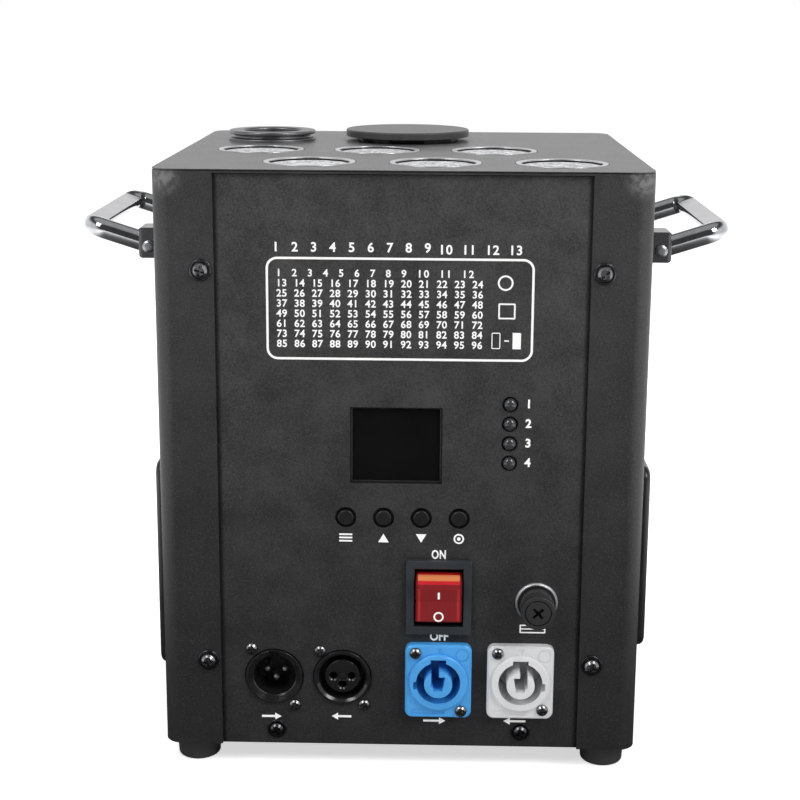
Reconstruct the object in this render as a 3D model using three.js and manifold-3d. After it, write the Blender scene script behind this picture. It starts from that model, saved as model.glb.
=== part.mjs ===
// A cold spark machine: a charcoal sheet-metal case on four rubber feet, with a powder hopper, a heated spark
// outlet and six lamps in its top, a control panel at its rear, and a fan and a folding handle on each side.
//
// The frame is in millimetres. +X points to the right and +Y away from someone who faces the control panel,
// +Z points up. The feet stand on z = 0, and the origin is under the middle of the machine's overall box.
import * as THREE from 'three';
import { mergeVertices } from 'three/addons/utils/BufferGeometryUtils.js';
import Module from 'manifold-3d';

const wasm = await Module();
wasm.setup();

// Overall sizes
const overallWidth = 191;
const overallDepth = 185;
const overallHeight = 250;

// Fits shared by many pieces
const fitGap = 0.3;
const cutOverrun = 2;
const weldTolerance = 1e-4;

// Sheet-metal case
const sheetThickness = 1.5;
const panelThickness = 1.5;
const cornerRadius = 4.5;
const topEdgeRadius = 0.8;
const flangeWidth = 23.4;
const panelMargin = 8.5;
const baseLipGap = 1;
const baseLipInset = 10;

// Rubber feet
const footHeight = 10.8;
const footTopRadius = 9.1;
const footBottomRadius = 8.6;
const footEdge = 0.8;
const footRecessRadius = 3.6;
const footRecessDepth = 6;
const footInsetX = 12.7;
const footInsetY = 15.5;

// Hopper cap
const capRise = 5.2;
const capRadius = 28.2;
const capGapUnder = 2;
const capEdge = 1.1;
const capSkirtRadius = 20.4;
const capSkirtWall = 2;
const capSkirtDepth = 7;

// Powder hopper, with its feed barrel
const hopperX = -0.8;
const hopperYShare = 0.2405;
const hopperNeckRadius = 23;
const hopperWall = 2;
const hopperFlangeRadius = 25.2;
const hopperFlangeThickness = 2;
const hopperNeckDepth = 14;
const hopperThroatRadius = 8;
const barrelRise = 22.5;
const barrelRadius = 13;
const barrelBore = 10;
const barrelSeat = 0.8;
const barrelOuterReach = 25;
const barrelFlangeRadius = 17;
const barrelFlangeThickness = 3;

// Feed auger
const augerShaftRadius = 3;
const augerFlightRadius = 9.4;
const augerFlightThickness = 2;
const augerTurns = 3;
const augerEndMargin = 4;
const augerDriveDepth = 11;

// Feed motor
const motorBoxLength = 24;
const motorBoxRadius = 14;
const motorCanLength = 26;
const motorCanRadius = 12;
const motorEdge = 1;

// Spark outlet
const outletXShare = -0.3298;
const outletYShare = 0.227;
const outletRadius = 19.8;
const outletBore = 13.25;
const outletRise = 4.5;
const outletRimThickness = 1.7;
const outletWaistRadius = 17.6;
const outletFootThickness = 1.2;
const outletSpigotRadius = 15.2;
const outletSpigotDepth = 8;

// Heating tube and the coil round it
const tubeRadius = 18;
const tubeBore = 14;
const tubeFlangeRadius = 20.5;
const tubeFlangeThickness = 2.5;
const tubeLength = 95;
const tubeFloor = 3;
const tubeMouthDepth = 10;
const portWidth = 28;
const portHeight = 26;
const portReach = 6;
const portRise = 9;
const coilRadius = 24;
const coilCarrierWall = 1.5;
const coilLength = 32;
const coilTurns = 4;
const coilTurnShares = [[1 / 8, 0], [1 / 3, 1], [2 / 3, 1], [7 / 8, 0]];
const coilGapShare = 0.55;

// Blower
const blowerOffsetX = 27;
const blowerCentreDrop = 34;
const blowerInnerRadius = 27;
const blowerOuterRadius = 38;
const blowerWall = 2;
const blowerChannelWidth = 22;
const blowerInletRadius = 17;
const blowerAxleRadius = 2;
const impellerRadius = 23;
const impellerDiscThickness = 1.5;
const impellerBladeCount = 12;
const impellerBladeDepth = 5;
const impellerBladeThickness = 1.2;
const impellerHubRadius = 7;
const impellerClearance = 1;

// Lamps
const lampPitchShare = 0.2618;
const lampRimRadius = 18.3;
const lampRimWall = 2.1;
const lampFlangeReach = 1;
const lampFlangeThickness = 1.6;
const lampLensDepth = 1.5;
const lampBodyDepth = 21;
const lampBodyRadius = 17;
const nearRowXShare = 0.0644;
const nearRowYShare = -0.3276;
const farRowXShare = -0.0665;
const farRowYShare = -0.0405;

// Folding handles
const handleRodRadius = 4;
const handleSpan = 91;
const handleReach = 25.4;
const handleBend = 6;
const handleRaise = THREE.MathUtils.degToRad(16);
const gripFlatHeight = 1.75;
const gripFlatMargin = 3;
const postReach = 12.3;
const postWidth = 13;
const postEdge = 2.4;
const postBackWall = 3;
const postRoof = 1.7;
const postFoot = 5;
const pinDrop = 35.1;
const pinReach = 7.75;
const pinRadius = 1.5;
const pinHeadRadius = 2.2;
const pinHeadHeight = 1.1;
const studRadius = 2;
const studLength = 5;

// Side guards and fans
const guardDepth = 9.2;
const guardCorner = 6;
const guardEdge = 2.6;
const guardWall = 2;
const guardSlotHeight = 4.6;
const guardBarHeight = 4;
const guardMargin = 8;
const guardRib = 5;
const leftGuardSize = 92.6;
const leftGuardRiseShare = 0.2496;
const leftFanSize = 92;
const rightGuardSize = 81.4;
const rightGuardRiseShare = 0.2637;
const rightFanSize = 80;
const fanDepth = 25;
const fanCorner = 4;
const fanRingWall = 2.2;
const fanHubRadius = 16.5;
const fanHubThickness = 3.5;
const fanSpokeWidth = 5;
const fanAxleRadius = 1.8;
const fanTipGap = 1.2;
const fanRotorInset = 3;
const fanBladeCount = 7;
const fanBladeThickness = 1.8;
const fanBladeWidth = 18;
const fanBladePitch = THREE.MathUtils.degToRad(38);

// Control board with its display, lights and push buttons
const studRise = 65.8;
const studDrop = 7.1;
const studLeftShare = -0.8239;
const studRightShare = 0.7975;
const standoffLength = 8;
const standoffRadius = 3.6;
const boardMargin = 5;
const boardThickness = 1.6;
const displayX = -1.95;
const displayLift = 29.5;
const displayWindowWidth = 36.2;
const displayWindowHeight = 31;
const displayBezel = 4.5;
const lightCount = 4;
const lightXShare = 0.588;
const lightLift = 46.8;
const lightPitch = 7.9;
const lightRadius = 2.5;
const lightHoleRadius = 3.1;
const lightStandOut = 1;
const lightDome = 1.2;
const lightBarWidth = 7;
const lightBarThickness = 3;
const buttonCount = 4;
const buttonX = 0.7;
const buttonRise = 96.5;
const buttonPitch = 14.95;
const buttonRadius = 3.1;
const buttonHoleRadius = 4.2;
const buttonStandOut = 0.7;
const buttonFlangeRadius = 4.9;
const buttonFlangeThickness = 1.2;
const buttonTravel = 0.6;
const buttonSocketRadius = 2;
const keySwitchSize = 6;
const keySwitchHeight = 3;

// Rocker switch
const switchXShare = 0.2191;
const switchRoomShare = 0.33;
const switchFrameWidth = 26.1;
const switchFrameHeight = 30.6;
const switchFrameThickness = 2.2;
const switchFrameCorner = 1.5;
const switchOpeningWidth = 19.5;
const switchOpeningHeight = 24;
const switchWall = 1.5;
const switchDepth = 22;
const switchBayDepth = 13;
const switchTabWidth = 0.8;
const switchTabHeight = 5;
const switchTabReach = 7;
const rockerWidth = 17;
const rockerHeight = 21.3;
const rockerPivotDepth = 2.9;
const rockerFaceReach = 5.2;
const rockerTipReach = 7;
const rockerKeelReach = 6;
const rockerKeelHalf = 2.5;
const rockerPinRadius = 1;
const rockerPinReach = 2;
const rockerTilt = THREE.MathUtils.degToRad(9);

// Fuse holder
const fuseXShare = 0.7587;
const fuseRoomShare = 0.351;
const fuseFlangeRadius = 8.5;
const fuseFlangeThickness = 1.6;
const fuseBarrelRadius = 6.2;
const fuseBarrelLength = 30;
const fuseBore = 4.6;
const fuseCapRadius = 7.15;
const fuseCapLength = 10.2;
const fuseCapEdge = 0.9;
const fusePlugRadius = 4.2;
const fusePlugLength = 9;
const fuseRingRadius = 5;
const fuseRingDepth = 0.8;
const fuseCrossLength = 4.4;
const fuseCrossWidth = 1.1;
const fuseCrossDepth = 1.6;
const fuseRadius = 2.6;
const fuseLength = 20;
const fuseClipDepth = 6;
const fuseFerruleLength = 5;
const fuseGlassInset = 0.2;

// Round control sockets, fixed from behind the panel
const socketRoomShares = [0.202, 0.048, 0.3194, 0.1692];
const socketRiseShare = 0.2953;
const socketRingRadius = 12;
const socketRingStandOut = 1;
const socketFlangeWidth = 26;
const socketFlangeHeight = 31;
const socketFlangeThickness = 2;
const socketFlangeCorner = 3;
const socketBarrelRadius = 11.4;
const socketDepth = 20;
const plugBore = 8.5;
const plugFloorDepth = 13;
const plugPinRadius = 1.2;
const plugPinRecess = 5.2;
const pinCircleRadius = 3.65;
const keyWidth = 3.4;
const keyHeight = 1.6;
const jackBore = 9.6;
const jackCoreRadius = 7.1;
const jackGrooveDepth = 10;
const jackCoreRecess = 0.8;
const jackHoleRadius = 1.5;
const jackHoleDepth = 8;

// Locking mains sockets
const mainsRiseShare = 0.2798;
const mainsFlangeWidth = 26.3;
const mainsFlangeHeight = 32.4;
const mainsFlangeThickness = 2.4;
const mainsFlangeCorner = 3;
const mainsRingRadius = 12;
const mainsRingRise = 1.4;
const mainsBore = 9;
const mainsBoreDepth = 16;
const mainsBarrelRadius = 11.6;
const mainsDepth = 24;
const mainsCoreRadius = 5.85;
const mainsCoreRecess = 2;
const mainsSlotWidth = 4.2;
const mainsSlotFloor = 3;
const mainsKeyTopWidth = 5.4;
const mainsKeyReach = 1.9;
const mainsSideKeyWidth = 2.6;

// Screws through the rear flanges
const screwXShare = 0.2137;
const screwDrop = 38.6;
const screwLow = 35.9;
const screwWasherRadius = 4.25;
const screwWasherThickness = 0.8;
const screwHeadRadius = 3.1;
const screwHeadHeight = 2.1;
const screwShankRadius = 1.9;
const screwShankLength = 7;
const screwCrossLength = 3.6;
const screwCrossWidth = 0.9;
const screwCrossDepth = 1.2;

// Power supply
const supplyGap = 11;
const supplyDepth = 84;
const supplyHeight = 38;
const supplySlotCount = 7;
const supplySlotWidth = 3;
const supplySlotDepth = 2;
const supplySlotMargin = 10;
const supplyTerminalDepth = 12;
const supplyTerminalDrop = 16;

// Facets round each circle
const smallRound = 10;
const middleRound = 18;
const largeRound = 24;
const tightCorner = 1;
const wideCorner = 2;
const bendFacets = 4;
const bailSteps = 26;
const standoffSides = 6;

// Places in the case, worked out from the sizes above
const baseZ = footHeight;
const topZ = overallHeight - capRise;
const bodyHeight = topZ - baseZ;
const sideX = overallWidth / 2;
const flangeY = overallDepth / 2;
const panelFaceY = flangeY - sheetThickness;
const panelBackY = panelFaceY - panelThickness;
const underTopZ = topZ - sheetThickness;
const windowHalf = sideX - flangeWidth;
const panelHalf = sideX - sheetThickness - panelMargin + fitGap;

// Places in the top and under it
const hopperY = hopperYShare * overallDepth;
const outletX = outletXShare * overallWidth;
const outletY = outletYShare * overallDepth;
const lampPitch = lampPitchShare * overallWidth;
const lampFlangeRadius = lampRimRadius + lampFlangeReach;
const nearRowX = nearRowXShare * overallWidth;
const nearRowY = nearRowYShare * overallDepth;
const farRowX = farRowXShare * overallWidth;
const farRowY = farRowYShare * overallDepth;
const tubeFootZ = underTopZ - tubeLength;
const barrelZ = tubeFootZ + barrelRise;
const barrelInnerReach = hopperX - outletX - tubeRadius + barrelSeat;
const augerRoom = barrelInnerReach + barrelOuterReach - 2 * augerEndMargin;
const augerPitch = (augerRoom - augerFlightThickness) / augerTurns;
const motorFaceX = hopperX + barrelOuterReach + barrelFlangeThickness;
const portZ = tubeFootZ + portRise;
const blowerX = outletX + blowerOffsetX;
const portFaceY = outletY - tubeRadius - portReach;
const blowerY = portFaceY - blowerCentreDrop;
const supplyWidth = 2 * (sideX - sheetThickness - fanDepth - supplyGap);

// Places on the sides
const pinX = sideX + pinReach;
const pinZ = topZ - pinDrop;
const roofRise = (handleRodRadius + fitGap) / Math.cos(handleRaise)
  + (postReach - pinReach) * Math.tan(handleRaise);
const leftGuardRise = leftGuardRiseShare * bodyHeight;
const rightGuardRise = rightGuardRiseShare * bodyHeight;

// Places on the control panel. The rows above and below the buttons keep to them, and the lowest row
// spreads over the window's width.
const displayRise = buttonRise + displayLift;
const lightX = lightXShare * windowHalf;
const lightTop = buttonRise + lightLift;
const studHigh = buttonRise + studRise;
const studLow = buttonRise - studDrop;
const studLeft = studLeftShare * windowHalf;
const studRight = studRightShare * windowHalf;
const boardFace = -panelThickness - standoffLength;
const [inRoomShare, outRoomShare, mainsInRoomShare, mainsOutRoomShare] = socketRoomShares;
const socketRoom = 2 * (windowHalf - socketFlangeWidth - mainsFlangeWidth);
const socketInX = inRoomShare * socketRoom + socketFlangeWidth / 2 - windowHalf;
const socketOutX = socketInX + socketFlangeWidth + outRoomShare * socketRoom;
const mainsInX = socketOutX + (socketFlangeWidth + mainsFlangeWidth) / 2 + mainsInRoomShare * socketRoom;
const mainsOutX = mainsInX + mainsFlangeWidth + mainsOutRoomShare * socketRoom;
const socketRise = socketRiseShare * buttonRise;
const mainsRise = mainsRiseShare * buttonRise;
const baseLipHeight = socketRise - socketFlangeHeight / 2 - baseLipGap;
const mainsTop = mainsRise + mainsFlangeHeight / 2;
const middleRoom = studLow - boardMargin - mainsTop;
const switchBodyWidth = switchOpeningWidth + 2 * switchWall;
const switchBodyHeight = switchOpeningHeight + 2 * switchWall;
const switchX = switchXShare * windowHalf;
const switchRoom = middleRoom - (switchFrameHeight + switchBodyHeight) / 2;
const switchRise = mainsTop + switchFrameHeight / 2 + switchRoomShare * switchRoom;
const fuseX = fuseXShare * windowHalf;
const fuseRoom = middleRoom - fuseFlangeRadius - fuseBarrelRadius;
const fuseRise = mainsTop + fuseFlangeRadius + fuseRoomShare * fuseRoom;
const rearmostY = panelFaceY + fuseFlangeThickness + fitGap + fuseCapLength;
const screwX = windowHalf + screwXShare * flangeWidth;
const screwHigh = bodyHeight - screwDrop;

// Turns a geometry into a closed solid that can be joined and cut.
function solidOf(geometry) {
  const bare = geometry.clone();
  bare.deleteAttribute('normal');
  bare.deleteAttribute('uv');
  const welded = mergeVertices(bare, weldTolerance);
  const corners = welded.index.array;
  const kept = [];
  for (let i = 0; i < corners.length; i += 3) {
    const [a, b, c] = [corners[i], corners[i + 1], corners[i + 2]];
    if (a !== b && b !== c && c !== a) {
      kept.push(a, b, c);
    }
  }
  const vertProperties = Float32Array.from(welded.getAttribute('position').array);
  return new wasm.Manifold(new wasm.Mesh({ numProp: 3, vertProperties, triVerts: Uint32Array.from(kept) }));
}

// Turns a solid back into a geometry.
function geometryOf(solid) {
  const { numProp, vertProperties, triVerts } = solid.getMesh();
  const positions = new Float32Array((vertProperties.length / numProp) * 3);
  for (let i = 0; i < positions.length / 3; i += 1) {
    positions.set(vertProperties.subarray(i * numProp, i * numProp + 3), i * 3);
  }
  const geometry = new THREE.BufferGeometry();
  geometry.setAttribute('position', new THREE.BufferAttribute(positions, 3));
  geometry.setIndex(new THREE.BufferAttribute(triVerts, 1));
  geometry.computeVertexNormals();
  return geometry;
}

function joined(solids) {
  return solids.reduce((whole, solid) => whole.add(solid));
}

function cut(solid, tools) {
  return tools.reduce((rest, tool) => rest.subtract(tool), solid);
}

// The ways a piece that is drawn facing +Z can face in the machine. Each takes the drawing's across, up and
// outward directions to the machine's.
const facing = {
  up: new THREE.Matrix4(),
  rear: new THREE.Matrix4().makeBasis(
    new THREE.Vector3(1, 0, 0), new THREE.Vector3(0, 0, 1), new THREE.Vector3(0, -1, 0)),
  front: new THREE.Matrix4().makeBasis(
    new THREE.Vector3(-1, 0, 0), new THREE.Vector3(0, 0, 1), new THREE.Vector3(0, 1, 0)),
  right: new THREE.Matrix4().makeBasis(
    new THREE.Vector3(0, 1, 0), new THREE.Vector3(0, 0, 1), new THREE.Vector3(1, 0, 0)),
  left: new THREE.Matrix4().makeBasis(
    new THREE.Vector3(0, -1, 0), new THREE.Vector3(0, 0, 1), new THREE.Vector3(-1, 0, 0)),
};

function turned(geometry, direction, x, y, z) {
  geometry.applyMatrix4(facing[direction]);
  geometry.translate(x, y, z);
  return solidOf(geometry);
}

function sorted(...values) {
  return values.sort((a, b) => a - b);
}

// A box between two opposite corners.
function block(low, high) {
  const size = high.map((value, axis) => value - low[axis]);
  const geometry = new THREE.BoxGeometry(...size);
  geometry.translate(...size.map((value, axis) => low[axis] + value / 2));
  return solidOf(geometry);
}

// A round bar about the drawing's outward axis, from one depth to another.
function barGeometry(radius, from, to, sides, x = 0, y = 0) {
  const geometry = new THREE.CylinderGeometry(radius, radius, to - from, sides);
  geometry.rotateX(Math.PI / 2);
  geometry.translate(x, y, (from + to) / 2);
  return geometry;
}

// A turned shape about the drawing's outward axis. Each point of the profile is [radius, height].
function latheGeometry(profile, sides, x = 0, y = 0) {
  const points = profile.map(([radius, height]) => new THREE.Vector2(radius, height));
  const geometry = new THREE.LatheGeometry(points, sides);
  geometry.rotateX(Math.PI / 2);
  geometry.translate(x, y, 0);
  return geometry;
}

// A rectangle with round corners, as a closed outline.
function roundedOutline(outline, width, height, radius, x = 0, y = 0) {
  const [left, right, low, high] = [x - width / 2, x + width / 2, y - height / 2, y + height / 2];
  outline.moveTo(left + radius, low);
  outline.lineTo(right - radius, low);
  outline.absarc(right - radius, low + radius, radius, -Math.PI / 2, 0);
  outline.lineTo(right, high - radius);
  outline.absarc(right - radius, high - radius, radius, 0, Math.PI / 2);
  outline.lineTo(left + radius, high);
  outline.absarc(left + radius, high - radius, radius, Math.PI / 2, Math.PI);
  outline.lineTo(left, low + radius);
  outline.absarc(left + radius, low + radius, radius, Math.PI, 1.5 * Math.PI);
  return outline;
}

// A plate with round corners, from one depth to another.
function plateGeometry(width, height, radius, from, to, x = 0, y = 0, curveSegments = tightCorner) {
  const outline = roundedOutline(new THREE.Shape(), width, height, radius, x, y);
  const depth = to - from;
  const geometry = new THREE.ExtrudeGeometry(outline, { depth, bevelEnabled: false, curveSegments });
  geometry.translate(0, 0, from);
  return geometry;
}

function slab(width, depth, radius, from, to, curveSegments) {
  return solidOf(plateGeometry(width, depth, radius, from, to, 0, 0, curveSegments));
}

// A material for each kind of surface
const finish = {
  charcoalCoat: { color: 0x3a3b3d, roughness: 0.6, metalness: 0.1 },
  blackCoat: { color: 0x1d1e20, roughness: 0.5, metalness: 0.1 },
  rubber: { color: 0x191919, roughness: 0.85, metalness: 0 },
  chrome: { color: 0xc9ccd0, roughness: 0.15, metalness: 1 },
  darkNickel: { color: 0x55575a, roughness: 0.3, metalness: 1 },
  galvanised: { color: 0x9a9fa3, roughness: 0.45, metalness: 1 },
  steel: { color: 0x8b8e92, roughness: 0.35, metalness: 1 },
  heatedSteel: { color: 0x6d5f52, roughness: 0.5, metalness: 1 },
  copper: { color: 0xb87040, roughness: 0.35, metalness: 1 },
  blackPlastic: { color: 0x17181a, roughness: 0.45, metalness: 0 },
  slatePlastic: { color: 0x3a3f44, roughness: 0.5, metalness: 0 },
  bluePlastic: { color: 0x4b9fe6, roughness: 0.4, metalness: 0 },
  greyPlastic: { color: 0xd6d6d4, roughness: 0.4, metalness: 0 },
  redPlastic: { color: 0xb3202a, roughness: 0.25, metalness: 0 },
  smokedPlastic: { color: 0x2a2b2d, roughness: 0.15, metalness: 0 },
  glass: { color: 0xcfd6d8, roughness: 0.1, metalness: 0 },
  blackGlass: { color: 0x0a0b0c, roughness: 0.1, metalness: 0 },
  silverLamp: { color: 0xc8cacc, roughness: 0.25, metalness: 0.9 },
  circuitBoard: { color: 0x1f5a34, roughness: 0.5, metalness: 0 },
};

function part(name, solid, look) {
  const mesh = new THREE.Mesh(geometryOf(solid), new THREE.MeshStandardMaterial(finish[look]));
  mesh.name = name;
  return mesh;
}

const lampSpots = [nearRowX, farRowX].flatMap((middle, row) =>
  [-1, 0, 1].map((step) => [middle + step * lampPitch, row === 0 ? nearRowY : farRowY]));

const screwSpots = [[-screwX, screwHigh], [screwX, screwHigh], [-screwX, screwLow], [screwX, screwLow]];

const postSpots = [-handleSpan / 2, handleSpan / 2];

// Each side's word, its sign along X, and the size and height of its guard and fan.
const sides = [
  { word: 'left', sign: -1, guardSize: leftGuardSize, fanSize: leftFanSize, rise: leftGuardRise },
  { word: 'right', sign: 1, guardSize: rightGuardSize, fanSize: rightFanSize, rise: rightGuardRise },
];

// One bent and welded shell: the top, both sides and the flanges at the rear and front.
function outerCasing() {
  const outline = roundedOutline(new THREE.Shape(), overallWidth, overallDepth, cornerRadius);
  const hull = new THREE.ExtrudeGeometry(outline, {
    depth: bodyHeight,
    curveSegments: wideCorner,
    bevelThickness: topEdgeRadius,
    bevelSize: topEdgeRadius,
    bevelOffset: -topEdgeRadius,
    bevelSegments: wideCorner,
  });
  hull.translate(0, 0, topZ - bodyHeight - topEdgeRadius);
  const innerWidth = overallWidth - 2 * sheetThickness;
  const innerDepth = overallDepth - 2 * sheetThickness;
  const low = baseZ - 2 * topEdgeRadius - cutOverrun;
  const windowY = flangeY + cutOverrun;
  const tools = [
    slab(innerWidth, innerDepth, cornerRadius - sheetThickness, low, underTopZ, wideCorner),
    block([-overallWidth, -overallDepth, low], [overallWidth, overallDepth, baseZ]),
    block([-windowHalf, -windowY, low], [windowHalf, windowY, underTopZ]),
  ];
  const topHoles = [
    [hopperNeckRadius, hopperX, hopperY],
    [outletSpigotRadius, outletX, outletY],
    ...lampSpots.map(([x, y]) => [lampRimRadius, x, y]),
  ];
  const [holeLow, holeHigh] = [underTopZ - cutOverrun, topZ + cutOverrun];
  for (const [radius, x, y] of topHoles) {
    tools.push(solidOf(barGeometry(radius + fitGap, holeLow, holeHigh, largeRound, x, y)));
  }
  for (const { word, sign, fanSize, rise } of sides) {
    const bore = barGeometry(fanSize / 2 - fanRingWall, -sheetThickness - cutOverrun, cutOverrun, largeRound);
    tools.push(turned(bore, word, sign * sideX, 0, baseZ + rise));
    for (const y of postSpots) {
      const hole = barGeometry(studRadius + fitGap, -sheetThickness - cutOverrun, cutOverrun, smallRound);
      tools.push(turned(hole, word, sign * sideX, y, pinZ));
    }
  }
  for (const [x, rise] of screwSpots) {
    const hole = barGeometry(screwShankRadius + fitGap, -sheetThickness - cutOverrun, cutOverrun, smallRound);
    tools.push(turned(hole, 'rear', x, -flangeY, baseZ + rise));
  }
  return cut(solidOf(hull), tools);
}

function roundHole(x, y, radius, sides = smallRound) {
  const corners = [];
  for (let i = 0; i < sides; i += 1) {
    const angle = (2 * Math.PI * i) / sides;
    corners.push(new THREE.Vector2(x + radius * Math.cos(angle), y + radius * Math.sin(angle)));
  }
  return new THREE.Path(corners);
}

function squareHole(x, y, width, height) {
  const hole = new THREE.Path();
  hole.moveTo(x - width / 2, y - height / 2);
  hole.lineTo(x - width / 2, y + height / 2);
  hole.lineTo(x + width / 2, y + height / 2);
  hole.lineTo(x + width / 2, y - height / 2);
  hole.closePath();
  return hole;
}

// A flat panel behind the flanges, drawn in its own plane with heights above the case's underside.
function panelPlate(holes) {
  const outline = new THREE.Shape();
  outline.moveTo(-panelHalf, 0);
  outline.lineTo(panelHalf, 0);
  outline.lineTo(panelHalf, underTopZ - baseZ - fitGap);
  outline.lineTo(-panelHalf, underTopZ - baseZ - fitGap);
  outline.closePath();
  outline.holes = holes;
  return new THREE.ExtrudeGeometry(outline, { depth: panelThickness, bevelEnabled: false });
}

function buttonPlace(step) {
  return buttonX + (step - (buttonCount - 1) / 2) * buttonPitch;
}

function rearPanel() {
  const holes = [
    squareHole(displayX, displayRise, displayWindowWidth, displayWindowHeight),
    squareHole(switchX, switchRise, switchBodyWidth + 2 * fitGap, switchBodyHeight + 2 * fitGap),
    roundHole(fuseX, fuseRise, fuseBarrelRadius + fitGap, middleRound),
    roundHole(socketInX, socketRise, socketRingRadius + fitGap, middleRound),
    roundHole(socketOutX, socketRise, socketRingRadius + fitGap, middleRound),
    roundHole(mainsInX, mainsRise, mainsBarrelRadius + fitGap, middleRound),
    roundHole(mainsOutX, mainsRise, mainsBarrelRadius + fitGap, middleRound),
  ];
  for (let i = 0; i < lightCount; i += 1) {
    holes.push(roundHole(lightX, lightTop - i * lightPitch, lightHoleRadius));
  }
  for (let i = 0; i < buttonCount; i += 1) {
    holes.push(roundHole(buttonPlace(i), buttonRise, buttonHoleRadius));
  }
  for (const [x, rise] of screwSpots) {
    holes.push(roundHole(x, rise, screwShankRadius + fitGap));
  }
  return turned(panelPlate(holes), 'rear', 0, -panelBackY, baseZ);
}

function frontPanel() {
  return turned(panelPlate([]), 'front', 0, panelBackY, baseZ);
}

// A tray under the inside parts. Its upturned lips stand behind the panels.
function basePlate() {
  const width = overallWidth - 2 * sheetThickness - 2 * fitGap;
  const lipHalf = panelHalf - baseLipInset;
  const lips = [-1, 1].map((sign) => {
    const [near, far] = sorted(sign * panelBackY, sign * (panelBackY - sheetThickness));
    return block([-lipHalf, near, baseZ], [lipHalf, far, baseZ + baseLipHeight]);
  });
  return joined([slab(width, 2 * panelBackY, cornerRadius, baseZ, baseZ + sheetThickness), ...lips]);
}

function foot(x, y) {
  const profile = [
    [0, footRecessDepth],
    [footRecessRadius, footRecessDepth],
    [footRecessRadius, 0],
    [footBottomRadius - footEdge, 0],
    [footBottomRadius, footEdge],
    [footTopRadius, footHeight],
    [0, footHeight],
  ];
  return solidOf(latheGeometry(profile, middleRound, x, y));
}

// A clevis on the case's side. Its slot is open outward and downward, and its roof stops the raised handle.
function handlePost({ word, sign }, y) {
  const plan = new THREE.Shape();
  const [near, far] = [y - postWidth / 2, y + postWidth / 2];
  const [wall, face] = [sign * sideX, sign * (sideX + postReach)];
  const round = face - sign * postEdge;
  plan.moveTo(wall, near);
  plan.lineTo(round, near);
  plan.quadraticCurveTo(face, near, face, near + postEdge);
  plan.lineTo(face, far - postEdge);
  plan.quadraticCurveTo(face, far, round, far);
  plan.lineTo(wall, far);
  plan.closePath();
  const height = postFoot + roofRise + postRoof;
  const shape = { depth: height, bevelEnabled: false, curveSegments: bendFacets };
  const body = new THREE.ExtrudeGeometry(plan, shape);
  body.translate(0, 0, pinZ - postFoot);
  const stud = turned(barGeometry(studRadius, -studLength, postBackWall / 2, smallRound), word, wall, y, pinZ);
  const slotHalf = handleRodRadius + fitGap;
  const slotLow = pinZ - postFoot - cutOverrun;
  const [slotNear, slotFar] = sorted(sign * (sideX + postBackWall), sign * (sideX + postReach + cutOverrun));
  const slot = block([slotNear, y - slotHalf, slotLow], [slotFar, y + slotHalf, pinZ + roofRise]);
  const bore = barGeometry(pinRadius + fitGap, -postWidth, postWidth, smallRound);
  return cut(solidOf(body).add(stud), [slot, turned(bore, 'rear', sign * pinX, y, pinZ)]);
}

// A hinge pin through the post's two ears. Its round head faces away from the handle's middle.
function handlePin(sign, y) {
  const ear = postWidth / 2;
  const profile = [
    [0, -ear],
    [pinRadius, -ear],
    [pinRadius, ear + fitGap],
    [pinHeadRadius, ear + fitGap],
    [pinHeadRadius, ear + fitGap + pinHeadHeight / 2],
    [pinHeadRadius / 2, ear + fitGap + pinHeadHeight],
    [0, ear + fitGap + pinHeadHeight],
  ];
  return turned(latheGeometry(profile, smallRound), y < 0 ? 'rear' : 'front', sign * pinX, y, pinZ);
}

// A bail of round rod with a flat grip, lying level and then raised about its pins.
function handleBail(sign) {
  const [half, corner] = [handleSpan / 2, handleReach - handleBend];
  const path = new THREE.CurvePath();
  path.add(new THREE.LineCurve3(new THREE.Vector3(0, -half, 0), new THREE.Vector3(corner, -half, 0)));
  path.add(new THREE.QuadraticBezierCurve3(new THREE.Vector3(corner, -half, 0),
    new THREE.Vector3(handleReach, -half, 0), new THREE.Vector3(handleReach, handleBend - half, 0)));
  path.add(new THREE.LineCurve3(new THREE.Vector3(handleReach, handleBend - half, 0),
    new THREE.Vector3(handleReach, half - handleBend, 0)));
  path.add(new THREE.QuadraticBezierCurve3(new THREE.Vector3(handleReach, half - handleBend, 0),
    new THREE.Vector3(handleReach, half, 0), new THREE.Vector3(corner, half, 0)));
  path.add(new THREE.LineCurve3(new THREE.Vector3(corner, half, 0), new THREE.Vector3(0, half, 0)));
  const ring = new THREE.Shape();
  ring.absarc(0, 0, handleRodRadius, 0, 2 * Math.PI);
  const sweep = { extrudePath: path, steps: bailSteps, curveSegments: bendFacets };
  const solids = [solidOf(new THREE.ExtrudeGeometry(ring, sweep))];
  const tools = [block([-handleRodRadius, handleBend - half - gripFlatMargin, gripFlatHeight],
    [2 * handleReach, half - handleBend + gripFlatMargin, 2 * handleRodRadius])];
  for (const y of postSpots) {
    const eye = barGeometry(handleRodRadius, -handleRodRadius, handleRodRadius, middleRound / 2);
    solids.push(turned(eye, 'rear', 0, y, 0));
    tools.push(turned(barGeometry(pinRadius + fitGap, -postWidth, postWidth, smallRound), 'rear', 0, y, 0));
  }
  const level = geometryOf(cut(joined(solids), tools));
  level.rotateY(-handleRaise);
  if (sign < 0) {
    level.rotateZ(Math.PI);
  }
  level.translate(sign * pinX, 0, pinZ);
  return solidOf(level);
}

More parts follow.
